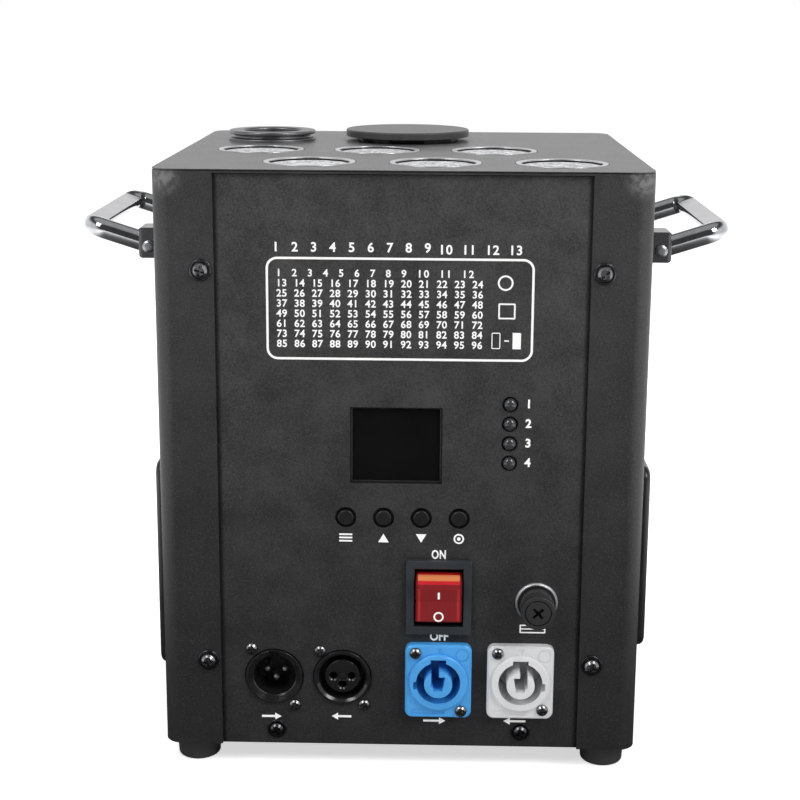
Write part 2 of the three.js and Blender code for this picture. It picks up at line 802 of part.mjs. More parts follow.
// A plastic guard over a fan opening, hollow behind its slotted face.
function sideGuard({ word, sign, guardSize, rise }) {
  const outline = roundedOutline(new THREE.Shape(), guardSize, guardSize, guardCorner);
  const hull = new THREE.ExtrudeGeometry(outline, {
    depth: guardDepth,
    curveSegments: tightCorner,
    bevelThickness: guardEdge,
    bevelSize: guardEdge,
    bevelOffset: -guardEdge,
    bevelSegments: wideCorner,
  });
  hull.translate(0, 0, -guardEdge);
  const inner = guardSize - 2 * guardWall;
  const tools = [
    block([-guardSize, -guardSize, -guardSize], [guardSize, guardSize, 0]),
    solidOf(plateGeometry(inner, inner, guardCorner - guardWall, -cutOverrun, guardDepth - guardWall)),
  ];
  const pitch = guardSlotHeight + guardBarHeight;
  const count = Math.floor((guardSize - 2 * guardMargin + guardBarHeight) / pitch);
  for (let i = 0; i < count; i += 1) {
    const low = (i - (count - 1) / 2) * pitch - guardSlotHeight / 2;
    for (const half of [-1, 1]) {
      const [near, far] = sorted((half * guardRib) / 2, half * (guardSize / 2 - guardMargin));
      tools.push(block([near, low, 0], [far, low + guardSlotHeight, 2 * guardDepth]));
    }
  }
  return turned(geometryOf(cut(solidOf(hull), tools)), word, sign * sideX, 0, baseZ + rise);
}

// An axial fan's frame, drawn with its outer face at height zero and its hub at the inner end.
function fanFrame({ word, sign, fanSize, rise }) {
  const shell = plateGeometry(fanSize, fanSize, fanCorner, -fanDepth, 0);
  const bore = barGeometry(fanSize / 2 - fanRingWall, -fanDepth - cutOverrun, cutOverrun, largeRound);
  const hubTop = fanHubThickness - fanDepth;
  const spokeReach = fanSize / 2 - fanRingWall / 2;
  const spokes = [
    block([-spokeReach, -fanSpokeWidth / 2, -fanDepth], [spokeReach, fanSpokeWidth / 2, hubTop]),
    block([-fanSpokeWidth / 2, -spokeReach, -fanDepth], [fanSpokeWidth / 2, spokeReach, hubTop]),
  ];
  const hub = solidOf(barGeometry(fanHubRadius, -fanDepth, hubTop, middleRound));
  const bearing = solidOf(barGeometry(fanAxleRadius + fitGap, -fanDepth - cutOverrun, 0, smallRound));
  const frame = joined([solidOf(shell).subtract(solidOf(bore)), hub, ...spokes]).subtract(bearing);
  return turned(geometryOf(frame), word, sign * (sideX - sheetThickness), 0, baseZ + rise);
}

// A fan's rotor: a hub with an axle that turns in the frame's bearing, and its pitched blades.
function fanRotor({ word, sign, fanSize, rise }) {
  const hubLow = fanHubThickness + fitGap - fanDepth;
  const solids = [
    solidOf(barGeometry(fanHubRadius, hubLow, -fanRotorInset, middleRound)),
    solidOf(barGeometry(fanAxleRadius, -fanDepth, -fanRotorInset, smallRound)),
  ];
  const tip = fanSize / 2 - fanRingWall - fanTipGap;
  const root = fanHubRadius - fanTipGap;
  const middle = (hubLow - fanRotorInset) / 2;
  for (let i = 0; i < fanBladeCount; i += 1) {
    const blade = new THREE.BoxGeometry(tip - root - fanBladeThickness, fanBladeWidth, fanBladeThickness);
    blade.rotateX(fanBladePitch);
    blade.translate((tip + root - fanBladeThickness) / 2, 0, middle);
    blade.rotateZ((2 * Math.PI * i) / fanBladeCount);
    solids.push(solidOf(blade));
  }
  return turned(geometryOf(joined(solids)), word, sign * (sideX - sheetThickness), 0, baseZ + rise);
}

// The lid over the hopper's mouth, with a skirt that plugs into the neck.
function hopperCap() {
  const low = topZ + capGapUnder;
  const profile = [
    [0, low],
    [capSkirtRadius - capSkirtWall, low],
    [capSkirtRadius - capSkirtWall, low - capSkirtDepth],
    [capSkirtRadius, low - capSkirtDepth],
    [capSkirtRadius, low],
    [capRadius - capEdge, low],
    [capRadius, low + capEdge / 2],
    [capRadius, overallHeight - capEdge],
    [capRadius - capEdge, overallHeight],
    [0, overallHeight],
  ];
  return solidOf(latheGeometry(profile, largeRound, hopperX, hopperY));
}

// A funnel through the top plate, made in one with the barrel that its powder falls into.
function powderHopper() {
  const rim = topZ + capGapUnder - fitGap;
  const neckLow = underTopZ - hopperNeckDepth;
  const throat = barrelZ + barrelBore / 2;
  const funnel = [
    [0, throat],
    [hopperThroatRadius + hopperWall, throat],
    [hopperNeckRadius, neckLow],
    [hopperNeckRadius, underTopZ - hopperFlangeThickness],
    [hopperFlangeRadius, underTopZ - hopperFlangeThickness],
    [hopperFlangeRadius, underTopZ],
    [hopperNeckRadius, underTopZ],
    [hopperNeckRadius, rim],
    [0, rim],
  ];
  const hollow = [
    [0, barrelZ],
    [hopperThroatRadius, barrelZ],
    [hopperThroatRadius, throat],
    [hopperNeckRadius - hopperWall, neckLow],
    [hopperNeckRadius - hopperWall, rim + cutOverrun],
    [0, rim + cutOverrun],
  ];
  const [barrelLow, barrelHigh] = [-barrelInnerReach, barrelOuterReach + barrelFlangeThickness];
  const barrel = barGeometry(barrelRadius, barrelLow, barrelOuterReach, middleRound);
  const flange = barGeometry(barrelFlangeRadius, barrelOuterReach, barrelHigh, middleRound);
  const bore = barGeometry(barrelBore, barrelLow - cutOverrun, barrelHigh + cutOverrun, middleRound);
  return joined([
    solidOf(latheGeometry(funnel, middleRound, hopperX, hopperY)),
    turned(barrel, 'right', hopperX, hopperY, barrelZ),
    turned(flange, 'right', hopperX, hopperY, barrelZ),
  ]).subtract(turned(bore, 'right', hopperX, hopperY, barrelZ))
    .subtract(solidOf(latheGeometry(hollow, middleRound, hopperX, hopperY)));
}

// A screw flight as one closed ribbon, wound about the outward axis from the height low upward.
function flightSolid(low, turns, pitch, inner, outer, thickness) {
  const steps = turns * smallRound;
  const positions = [];
  const index = [];
  for (let i = 0; i <= steps; i += 1) {
    const angle = (2 * Math.PI * i) / smallRound;
    const height = low + (pitch * i) / smallRound;
    for (const [radius, lift] of [[inner, 0], [outer, 0], [outer, thickness], [inner, thickness]]) {
      positions.push(radius * Math.cos(angle), radius * Math.sin(angle), height + lift);
    }
  }
  for (let i = 0; i < steps; i += 1) {
    for (let j = 0; j < 4; j += 1) {
      const [a, b] = [4 * i + j, 4 * i + ((j + 1) % 4)];
      index.push(a, a + 4, b, b, a + 4, b + 4);
    }
  }
  const last = steps * 4;
  index.push(0, 1, 2, 0, 2, 3, last, last + 2, last + 1, last, last + 3, last + 2);
  const geometry = new THREE.BufferGeometry();
  geometry.setAttribute('position', new THREE.Float32BufferAttribute(positions, 3));
  geometry.setIndex(index);
  return solidOf(geometry);
}

// The screw that carries the powder along the barrel. Its right end sits in the motor's socket.
function feedAuger() {
  const low = augerEndMargin - barrelInnerReach;
  const high = motorFaceX - hopperX + augerDriveDepth;
  const shaft = barGeometry(augerShaftRadius, low - augerEndMargin, high, smallRound);
  const flight = flightSolid(low, augerTurns, augerPitch, augerShaftRadius / 2, augerFlightRadius,
    augerFlightThickness);
  return turned(geometryOf(solidOf(shaft).add(flight)), 'right', hopperX, hopperY, barrelZ);
}

function feedMotor() {
  const boxEnd = motorBoxLength;
  const canEnd = boxEnd + motorCanLength;
  const profile = [
    [0, augerDriveDepth + fitGap],
    [augerShaftRadius + fitGap, augerDriveDepth + fitGap],
    [augerShaftRadius + fitGap, 0],
    [motorBoxRadius, 0],
    [motorBoxRadius, boxEnd],
    [motorCanRadius, boxEnd],
    [motorCanRadius, canEnd - motorEdge],
    [motorCanRadius - motorEdge, canEnd],
    [0, canEnd],
  ];
  return turned(latheGeometry(profile, middleRound), 'right', motorFaceX, hopperY, barrelZ);
}

// The ring that the sparks leave through: two rims with a waist between, and a spigot down into the tube.
function sparkOutlet() {
  const profile = [
    [outletBore, topZ - outletSpigotDepth],
    [outletSpigotRadius, topZ - outletSpigotDepth],
    [outletSpigotRadius, topZ],
    [outletRadius, topZ],
    [outletRadius, topZ + outletFootThickness],
    [outletWaistRadius, topZ + outletFootThickness],
    [outletWaistRadius, topZ + outletRise - outletRimThickness],
    [outletRadius, topZ + outletRise - outletRimThickness],
    [outletRadius, topZ + outletRise],
    [outletBore, topZ + outletRise],
    [outletBore, topZ - outletSpigotDepth],
  ];
  return solidOf(latheGeometry(profile, largeRound, outletX, outletY));
}

// The chamber under the outlet: closed below, with a port for the barrel and one for the blower.
function heatingTube() {
  const outer = [
    [0, tubeFootZ],
    [tubeRadius, tubeFootZ],
    [tubeRadius, underTopZ - tubeFlangeThickness],
    [tubeFlangeRadius, underTopZ - tubeFlangeThickness],
    [tubeFlangeRadius, underTopZ],
    [0, underTopZ],
  ];
  const hollow = [
    [0, tubeFootZ + tubeFloor],
    [tubeBore, tubeFootZ + tubeFloor],
    [tubeBore, underTopZ - tubeMouthDepth],
    [outletSpigotRadius + fitGap, underTopZ - tubeMouthDepth],
    [outletSpigotRadius + fitGap, underTopZ + cutOverrun],
    [0, underTopZ + cutOverrun],
  ];
  const port = block([outletX - portWidth / 2, portFaceY, portZ],
    [outletX + portWidth / 2, outletY, portZ + portHeight]);
  const channelHalf = blowerChannelWidth / 2 - blowerWall;
  const passage = block([outletX - channelHalf, portFaceY - cutOverrun, portZ + blowerWall],
    [outletX + channelHalf, outletY, portZ + portHeight - blowerWall]);
  const barrelHole = barGeometry(barrelRadius + fitGap, 0, 2 * tubeRadius, middleRound);
  return cut(solidOf(latheGeometry(outer, middleRound, outletX, outletY)).add(port), [
    solidOf(latheGeometry(hollow, middleRound, outletX, outletY)),
    passage,
    turned(barrelHole, 'right', outletX, hopperY, barrelZ),
  ]);
}

// The heater's winding on its carrier, drawn as a sleeve with one round ridge for each turn.
function heaterCoil() {
  const inner = tubeRadius + fitGap;
  const carrier = inner + coilCarrierWall;
  const room = underTopZ - tubeFlangeThickness - portZ - portHeight - coilLength;
  const top = portZ + portHeight + coilLength + (1 - coilGapShare) * room;
  const pitch = coilLength / coilTurns;
  const profile = [[inner, top - coilLength], [carrier, top - coilLength]];
  for (let i = 0; i < coilTurns; i += 1) {
    const low = top - coilLength + i * pitch;
    for (const [alongShare, outShare] of coilTurnShares) {
      profile.push([carrier + (coilRadius - carrier) * outShare, low + pitch * alongShare]);
    }
  }
  profile.push([carrier, top], [inner, top], [inner, top - coilLength]);
  return solidOf(latheGeometry(profile, middleRound, outletX, outletY));
}

// The blower's spiral outline about its own centre, drawn inset by a wall. The channel leaves toward +Y.
function volute(inset, from, to, overrun) {
  const left = -blowerOuterRadius + inset;
  const right = left + blowerChannelWidth - 2 * inset;
  const mouth = blowerCentreDrop + overrun;
  const inner = blowerInnerRadius - inset;
  const start = Math.acos(right / inner);
  const sweep = start + Math.PI;
  const outline = new THREE.Shape();
  outline.moveTo(right, mouth);
  for (let i = 0; i <= middleRound; i += 1) {
    const angle = start - (sweep * i) / middleRound;
    const radius = inner + ((blowerOuterRadius - blowerInnerRadius) * i) / middleRound;
    outline.lineTo(radius * Math.cos(angle), radius * Math.sin(angle));
  }
  outline.lineTo(left, mouth);
  outline.closePath();
  const geometry = new THREE.ExtrudeGeometry(outline, { depth: to - from, bevelEnabled: false });
  geometry.translate(blowerX, blowerY, from);
  return solidOf(geometry);
}

function blowerHousing() {
  const high = portZ + portHeight;
  const inlet = barGeometry(blowerInletRadius, high - portHeight / 2, high + cutOverrun, middleRound,
    blowerX, blowerY);
  const axle = barGeometry(blowerAxleRadius, portZ + blowerWall / 2, high - blowerWall, smallRound,
    blowerX, blowerY);
  return cut(volute(0, portZ, high, 0), [
    volute(blowerWall, portZ + blowerWall, high - blowerWall, cutOverrun),
    solidOf(inlet),
  ]).add(solidOf(axle));
}

// A drum of straight blades on a disc, with a hub that turns on the housing's axle.
function blowerImpeller() {
  const low = portZ + blowerWall + impellerClearance;
  const high = portZ + portHeight - blowerWall - impellerClearance;
  const solids = [
    solidOf(barGeometry(impellerRadius, low, low + impellerDiscThickness, middleRound)),
    solidOf(barGeometry(impellerHubRadius, low, (low + high) / 2, smallRound)),
  ];
  const bladeMiddle = impellerRadius - (impellerBladeDepth + impellerBladeThickness) / 2;
  for (let i = 0; i < impellerBladeCount; i += 1) {
    const blade = new THREE.BoxGeometry(impellerBladeDepth, impellerBladeThickness, high - low);
    blade.translate(bladeMiddle, 0, (low + high) / 2);
    blade.rotateZ((2 * Math.PI * i) / impellerBladeCount);
    solids.push(solidOf(blade));
  }
  const bore = solidOf(barGeometry(blowerAxleRadius + fitGap, low - cutOverrun, high, smallRound));
  return turned(geometryOf(joined(solids).subtract(bore)), 'up', blowerX, blowerY, 0);
}

// A lamp in one can: a silver rim level with the top plate, a flange under it and a lens below the rim.
function lamp([x, y]) {
  const lens = topZ - lampLensDepth;
  const low = topZ - lampBodyDepth;
  const profile = [
    [0, low],
    [lampBodyRadius, low],
    [lampBodyRadius, underTopZ - lampFlangeThickness],
    [lampFlangeRadius, underTopZ - lampFlangeThickness],
    [lampFlangeRadius, underTopZ],
    [lampRimRadius, underTopZ],
    [lampRimRadius, topZ],
    [lampRimRadius - lampRimWall, topZ],
    [lampRimRadius - lampRimWall, lens],
    [0, lens],
  ];
  return solidOf(latheGeometry(profile, middleRound, x, y));
}

// What is drawn on the rear panel: outward from the panel's face, with heights above the case's underside.
function onPanel(solid) {
  return turned(geometryOf(solid), 'rear', 0, -panelFaceY, baseZ);
}

// The control board on its four standoffs, with the push buttons' switches.
function controlBoard() {
  const [back, boardMiddle] = [boardFace - boardThickness, boardFace - boardThickness / 2];
  const corner = [studLeft - boardMargin, studLow - boardMargin];
  const solids = [block([...corner, back], [studRight + boardMargin, studHigh + boardMargin, boardFace])];
  for (const x of [studLeft, studRight]) {
    for (const y of [studLow, studHigh]) {
      solids.push(solidOf(barGeometry(standoffRadius, boardMiddle, -panelThickness, standoffSides, x, y)));
    }
  }
  const keyTop = boardFace + keySwitchHeight;
  const plungerTop = -panelThickness + buttonSocketRadius - buttonFlangeThickness - buttonTravel - fitGap;
  const plungerRadius = buttonSocketRadius - fitGap;
  for (let i = 0; i < buttonCount; i += 1) {
    const x = buttonPlace(i);
    const half = keySwitchSize / 2;
    solids.push(block([x - half, buttonRise - half, boardMiddle], [x + half, buttonRise + half, keyTop]));
    solids.push(solidOf(barGeometry(plungerRadius, boardFace, plungerTop, smallRound / 2, x, buttonRise)));
  }
  return onPanel(joined(solids));
}

function displayModule() {
  const [halfX, halfY] = [displayWindowWidth / 2 + displayBezel, displayWindowHeight / 2 + displayBezel];
  return onPanel(block([displayX - halfX, displayRise - halfY, boardFace],
    [displayX + halfX, displayRise + halfY, -panelThickness - fitGap]));
}

// The indicator lights, moulded in a column on one bar that stands on the board.
function indicatorLights() {
  const half = lightBarWidth / 2;
  const low = lightTop - (lightCount - 1) * lightPitch - half;
  const barTop = boardFace + lightBarThickness;
  const solids = [block([lightX - half, low, boardFace], [lightX + half, lightTop + half, barTop])];
  const profile = [[0, barTop - lightBarThickness / 2], [lightRadius, barTop - lightBarThickness / 2]];
  for (const angle of [0, Math.PI / 6, Math.PI / 3]) {
    const height = lightStandOut - lightDome * (1 - Math.sin(angle));
    profile.push([lightRadius * Math.cos(angle), height]);
  }
  profile.push([0, lightStandOut]);
  for (let i = 0; i < lightCount; i += 1) {
    solids.push(solidOf(latheGeometry(profile, smallRound, lightX, lightTop - i * lightPitch)));
  }
  return onPanel(joined(solids));
}

// A button's cap: a flange behind the panel keeps it in, and its socket slides on the switch's plunger.
function button(step) {
  const back = -panelThickness - fitGap - buttonFlangeThickness;
  const socketTop = back + buttonSocketRadius + buttonFlangeThickness / 2;
  const profile = [
    [0, socketTop],
    [buttonSocketRadius, socketTop],
    [buttonSocketRadius, back],
    [buttonFlangeRadius, back],
    [buttonFlangeRadius, back + buttonFlangeThickness],
    [buttonRadius, back + buttonFlangeThickness],
    [buttonRadius, buttonStandOut / 2],
    [buttonRadius - buttonStandOut / 2, buttonStandOut],
    [0, buttonStandOut],
  ];
  return onPanel(solidOf(latheGeometry(profile, smallRound, buttonPlace(step), buttonRise)));
}

// The rocker's housing: a flat frame on the panel and a bay behind it.
function switchFrame() {
  const front = plateGeometry(switchFrameWidth, switchFrameHeight, switchFrameCorner, 0, switchFrameThickness,
    switchX, switchRise);
  const [halfX, halfY] = [switchBodyWidth / 2, switchBodyHeight / 2];
  const solids = [
    solidOf(front),
    block([switchX - halfX, switchRise - halfY, -switchDepth],
      [switchX + halfX, switchRise + halfY, switchFrameThickness / 2]),
  ];
  for (const step of [-1, 0, 1]) {
    const y = switchRise + step * switchTabReach;
    solids.push(block([switchX - switchTabHeight / 2, y - switchTabWidth / 2, -switchDepth - switchTabReach],
      [switchX + switchTabHeight / 2, y + switchTabWidth / 2, -switchDepth / 2]));
  }
  const [openX, openY] = [switchOpeningWidth / 2, switchOpeningHeight / 2];
  const bay = block([switchX - openX, switchRise - openY, -switchBayDepth],
    [switchX + openX, switchRise + openY, switchFrameThickness + cutOverrun]);
  const pinHole = barGeometry(rockerPinRadius + fitGap, -switchFrameWidth, switchFrameWidth, smallRound);
  pinHole.rotateY(Math.PI / 2);
  pinHole.translate(switchX, switchRise, -rockerPivotDepth);
  const reach = rockerWidth / 2 + rockerPinReach + fitGap;
  const pinRoom = solidOf(pinHole).intersect(block([switchX - reach, switchRise - openY, -switchBayDepth],
    [switchX + reach, switchRise + openY, 0]));
  return onPanel(cut(joined(solids), [bay, pinRoom]));
}

// The rocker, drawn level about its pivot and then tilted so that its lower end is pressed in.
function rocker() {
  const half = rockerHeight / 2;
  const keel = rockerTipReach / 2;
  const profile = new THREE.Shape();
  profile.moveTo(rockerTipReach, -half);
  profile.lineTo(rockerFaceReach, 0);
  profile.lineTo(rockerTipReach, half);
  profile.lineTo(rockerTipReach - keel, half);
  profile.lineTo(-rockerKeelReach, rockerKeelHalf);
  profile.lineTo(-rockerKeelReach, -rockerKeelHalf);
  profile.lineTo(rockerTipReach - keel, -half);
  profile.closePath();
  const body = new THREE.ExtrudeGeometry(profile, { depth: rockerWidth, bevelEnabled: false });
  body.translate(0, 0, -rockerWidth / 2);
  const reach = rockerWidth / 2 + rockerPinReach;
  const pin = solidOf(barGeometry(rockerPinRadius, -reach, reach, smallRound));
  const level = geometryOf(solidOf(body).add(pin));
  level.applyMatrix4(new THREE.Matrix4().makeBasis(
    new THREE.Vector3(0, 0, 1), new THREE.Vector3(0, 1, 0), new THREE.Vector3(-1, 0, 0)));
  level.rotateX(rockerTilt);
  level.translate(switchX, switchRise, -rockerPivotDepth);
  return onPanel(solidOf(level));
}

// A cross recess cut into a screw or cap whose face is at the given height.
function crossRecess(x, y, face, length, width, depth) {
  return [
    block([x - length / 2, y - width / 2, face - depth], [x + length / 2, y + width / 2, face + depth]),
    block([x - width / 2, y - length / 2, face - depth], [x + width / 2, y + length / 2, face + depth]),
  ];
}

function fuseHolder() {
  const profile = [
    [0, -fuseBarrelLength],
    [fuseBarrelRadius, -fuseBarrelLength],
    [fuseBarrelRadius, 0],
    [fuseFlangeRadius, 0],
    [fuseFlangeRadius, fuseFlangeThickness],
    [fuseBore, fuseFlangeThickness],
    [fuseBore, fuseFlangeThickness - fuseBarrelLength],
    [0, fuseFlangeThickness - fuseBarrelLength],
  ];
  return onPanel(solidOf(latheGeometry(profile, middleRound, fuseX, fuseRise)));
}

// The fuse carrier: a knob with a cross recess, and a plug whose socket grips the fuse.
function fuseCap() {
  const low = fuseFlangeThickness + fitGap;
  const high = low + fuseCapLength;
  const profile = [
    [0, fuseClipDepth - fusePlugLength],
    [fuseRadius + fitGap, fuseClipDepth - fusePlugLength],
    [fuseRadius + fitGap, -fusePlugLength],
    [fusePlugRadius, -fusePlugLength],
    [fusePlugRadius, low],
    [fuseCapRadius, low],
    [fuseCapRadius, high - fuseCapEdge],
    [fuseCapRadius - fuseCapEdge, high],
    [fuseRingRadius, high],
    [fuseRingRadius, high - fuseRingDepth],
    [0, high - fuseRingDepth],
  ];
  const cap = solidOf(latheGeometry(profile, middleRound, fuseX, fuseRise));
  return onPanel(cut(cap, crossRecess(fuseX, fuseRise, high - fuseRingDepth, fuseCrossLength, fuseCrossWidth,
    fuseCrossDepth)));
}

// A glass cartridge fuse between two metal ferrules.
function fuse() {
  const high = fuseClipDepth - fusePlugLength - fitGap;
  const low = high - fuseLength;
  const glass = fuseRadius - fuseGlassInset;
  const profile = [
    [0, low],
    [fuseRadius, low],
    [fuseRadius, low + fuseFerruleLength],
    [glass, low + fuseFerruleLength],
    [glass, high - fuseFerruleLength],
    [fuseRadius, high - fuseFerruleLength],
    [fuseRadius, high],
    [0, high],
  ];
  return onPanel(solidOf(latheGeometry(profile, smallRound, fuseX, fuseRise)));
}

// The shell that both control sockets share: a ring through the panel, a flange behind it and a barrel.
function socketShell(x) {
  const [flangeLow, flangeHigh] = [-panelThickness - socketFlangeThickness, -panelThickness];
  const flange = plateGeometry(socketFlangeWidth, socketFlangeHeight, socketFlangeCorner, flangeLow, flangeHigh,
    x, socketRise);
  return joined([
    solidOf(flange),
    solidOf(barGeometry(socketRingRadius, flangeLow, socketRingStandOut, middleRound, x, socketRise)),
    solidOf(barGeometry(socketBarrelRadius, -socketDepth, flangeLow / 2, middleRound, x, socketRise)),
  ]);
}

// The places of a control socket's three contacts: one below its middle and one at each side.
function pinPlaces(x) {
  return [
    [x, socketRise - pinCircleRadius],
    [x - pinCircleRadius, socketRise],
    [x + pinCircleRadius, socketRise],
  ];
}

// The socket with three pins, for the cable that brings the control signal in.
function controlSocketIn() {
  const bore = solidOf(barGeometry(plugBore, -plugFloorDepth, cutOverrun, middleRound, socketInX, socketRise));
  const keyTop = socketRise + plugBore + keyHeight;
  const key = block([socketInX - keyWidth / 2, socketRise, -plugFloorDepth],
    [socketInX + keyWidth / 2, keyTop, cutOverrun]);
  const pinLow = -plugFloorDepth - cutOverrun;
  const pins = pinPlaces(socketInX).map(([x, y]) =>
    solidOf(barGeometry(plugPinRadius, pinLow, -plugPinRecess, smallRound / 2, x, y)));
  return onPanel(joined([cut(socketShell(socketInX), [bore, key]), ...pins]));
}

// The socket with three holes, for the cable that passes the control signal on.
function controlSocketOut() {
  const groove = solidOf(barGeometry(jackBore, -jackGrooveDepth, cutOverrun, middleRound,
    socketOutX, socketRise));
  const core = solidOf(barGeometry(jackCoreRadius, -jackGrooveDepth - cutOverrun, -jackCoreRecess, middleRound,
    socketOutX, socketRise));
  const holes = pinPlaces(socketOutX).map(([x, y]) =>
    solidOf(barGeometry(jackHoleRadius, -jackHoleDepth, cutOverrun, smallRound / 2, x, y)));
  return onPanel(cut(cut(socketShell(socketOutX), [groove]).add(core), holes));
}

// A round locking mains socket. Its side key and the step of its core's slot are on the given side.
function mainsSocket(x, side) {
  const y = mainsRise;
  const face = mainsFlangeThickness + mainsRingRise;
  const floor = face - mainsBoreDepth;
  const shell = joined([
    solidOf(plateGeometry(mainsFlangeWidth, mainsFlangeHeight, mainsFlangeCorner, 0, mainsFlangeThickness,
      x, y)),
    solidOf(barGeometry(mainsRingRadius, 0, face, middleRound, x, y)),
    solidOf(barGeometry(mainsBarrelRadius, -mainsDepth, mainsFlangeThickness / 2, middleRound, x, y)),
  ]);
  const keyEnd = mainsBore + mainsKeyReach;
  const [topHalf, sideHalf] = [mainsKeyTopWidth / 2, mainsSideKeyWidth / 2];
  const [sideNear, sideFar] = sorted(x, x + side * keyEnd);
  const hollows = [
    solidOf(barGeometry(mainsBore, floor, face + cutOverrun, middleRound, x, y)),
    block([x - topHalf, y, floor], [x + topHalf, y + keyEnd, face + cutOverrun]),
    block([sideNear, y - sideHalf, floor], [sideFar, y + sideHalf, face + cutOverrun]),
  ];
  const coreFace = face - mainsCoreRecess;
  const core = solidOf(barGeometry(mainsCoreRadius, floor - cutOverrun, coreFace, middleRound, x, y));
  const slotHalf = mainsSlotWidth / 2;
  const slotLow = floor + mainsSlotFloor;
  const [stepNear, stepFar] = sorted(x, x - side * (slotHalf + mainsKeyReach));
  const slots = [
    block([x - slotHalf, y - slotHalf, slotLow], [x + slotHalf, y + 2 * mainsCoreRadius, face]),
    block([stepNear, y - slotHalf, slotLow], [stepFar, y + slotHalf, face]),
  ];
  return onPanel(cut(shell, hollows).add(cut(core, slots)));
}

// A pan-head screw with a fixed washer, through the flange and the panel behind it.
function flangeScrew([x, rise]) {
  const washer = screwWasherThickness;
  const high = washer + screwHeadHeight;
  const profile = [
    [0, -screwShankLength],
    [screwShankRadius, -screwShankLength],
    [screwShankRadius, 0],
    [screwWasherRadius, 0],
    [screwWasherRadius, washer / 2],
    [screwHeadRadius, washer],
    [screwHeadRadius, high - washer],
    [screwHeadRadius - washer, high],
    [0, high],
  ];
  const screw = cut(solidOf(latheGeometry(profile, smallRound, x, rise)),
    crossRecess(x, rise, high, screwCrossLength, screwCrossWidth, screwCrossDepth));
  return turned(geometryOf(screw), 'rear', 0, -flangeY, baseZ);
}

// The supply for the heater, the lamps and the fans: a closed box with cooling slots and a terminal step.
function powerSupply() {
  const low = baseZ + sheetThickness;
  const [halfX, halfY, high] = [supplyWidth / 2, supplyDepth / 2, low + supplyHeight];
  const tools = [block([-supplyWidth, -supplyDepth, high - supplyTerminalDrop],
    [supplyWidth, supplyTerminalDepth - halfY, high + cutOverrun])];
  const slotSpan = supplyWidth - 2 * supplySlotMargin;
  const slotNear = supplyTerminalDepth + supplySlotMargin - halfY;
  for (let i = 0; i < supplySlotCount; i += 1) {
    const left = supplySlotMargin - halfX + (slotSpan * i) / (supplySlotCount - 1) - supplySlotWidth / 2;
    tools.push(block([left, slotNear, high - supplySlotDepth],
      [left + supplySlotWidth, halfY - supplySlotMargin, high + cutOverrun]));
  }
  return cut(block([-halfX, -halfY, low], [halfX, halfY, high]), tools);
}

function sidePieces(side) {
  const { word, sign } = side;
  const pieces = [
    part(`${word}_handle`, handleBail(sign), 'chrome'),
    part(`${word}_fan_guard`, sideGuard(side), 'blackPlastic'),
    part(`${word}_fan_frame`, fanFrame(side), 'blackPlastic'),
    part(`${word}_fan_rotor`, fanRotor(side), 'blackPlastic'),
  ];
  for (const [end, y] of [['rear', postSpots[0]], ['front', postSpots[1]]]) {
    pieces.push(part(`${word}_${end}_handle_post`, handlePost(side, y), 'darkNickel'));
    pieces.push(part(`${word}_${end}_handle_pin`, handlePin(sign, y), 'steel'));
  }
  return pieces;
}

const machine = new THREE.Group();
machine.add(
  part('outer_casing', outerCasing(), 'charcoalCoat'),
  part('rear_panel', rearPanel(), 'charcoalCoat'),
  part('front_panel', frontPanel(), 'charcoalCoat'),
  part('base_plate', basePlate(), 'galvanised'),
  part('hopper_cap', hopperCap(), 'blackCoat'),
  part('powder_hopper', powderHopper(), 'galvanised'),
  part('feed_auger', feedAuger(), 'steel'),
  part('feed_motor', feedMotor(), 'steel'),
  part('spark_outlet', sparkOutlet(), 'darkNickel'),
  part('heating_tube', heatingTube(), 'heatedSteel'),
  part('heater_coil', heaterCoil(), 'copper'),
  part('blower_housing', blowerHousing(), 'blackPlastic'),
  part('blower_impeller', blowerImpeller(), 'blackPlastic'),
  part('control_board', controlBoard(), 'circuitBoard'),
  part('display_module', displayModule(), 'blackGlass'),
  part('indicator_lights', indicatorLights(), 'smokedPlastic'),
  part('switch_frame', switchFrame(), 'slatePlastic'),
  part('rocker', rocker(), 'redPlastic'),
  part('fuse_holder', fuseHolder(), 'blackPlastic'),
  part('fuse_cap', fuseCap(), 'blackPlastic'),
  part('fuse', fuse(), 'glass'),
  part('control_socket_in', controlSocketIn(), 'blackPlastic'),
  part('control_socket_out', controlSocketOut(), 'blackPlastic'),
  part('mains_socket_in', mainsSocket(mainsInX, -1), 'bluePlastic'),
  part('mains_socket_out', mainsSocket(mainsOutX, 1), 'greyPlastic'),
  part('power_supply', powerSupply(), 'galvanised'),
  ...sides.flatMap(sidePieces),
);
for (const [end, y] of [['rear', footInsetY - flangeY], ['front', flangeY - footInsetY]]) {
  for (const [word, x] of [['left', footInsetX - sideX], ['right', sideX - footInsetX]]) {
    machine.add(part(`${end}_${word}_foot`, foot(x, y), 'rubber'));
  }
}
lampSpots.forEach((spot, i) => machine.add(part(`lamp_${i + 1}`, lamp(spot), 'silverLamp')));
screwSpots.forEach((spot, i) => machine.add(part(`panel_screw_${i + 1}`, flangeScrew(spot), 'darkNickel')));
['menu', 'up', 'down', 'enter'].forEach((word, i) => {
  machine.add(part(`${word}_button`, button(i), 'blackPlastic'));
});

// The overall box is centred on the origin. The fuse cap ends it at the rear, and the case's flanges in front.
machine.position.y = (rearmostY - flangeY) / 2;

export default machine;
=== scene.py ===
# %% [markdown]
# # A cold spark machine, dressed for the camera
# The machine is a sheet-metal case with a powder hopper, a heated spark outlet and six lamps in its top, a control
# panel at its rear, a fan behind a guard on each side and two folding handles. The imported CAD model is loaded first,
# and it stays as it is: every finer piece below takes its place from the CAD node that it stands for.

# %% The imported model
import math

import bmesh
import bpy
import numpy as np
from mathutils import Matrix, Vector


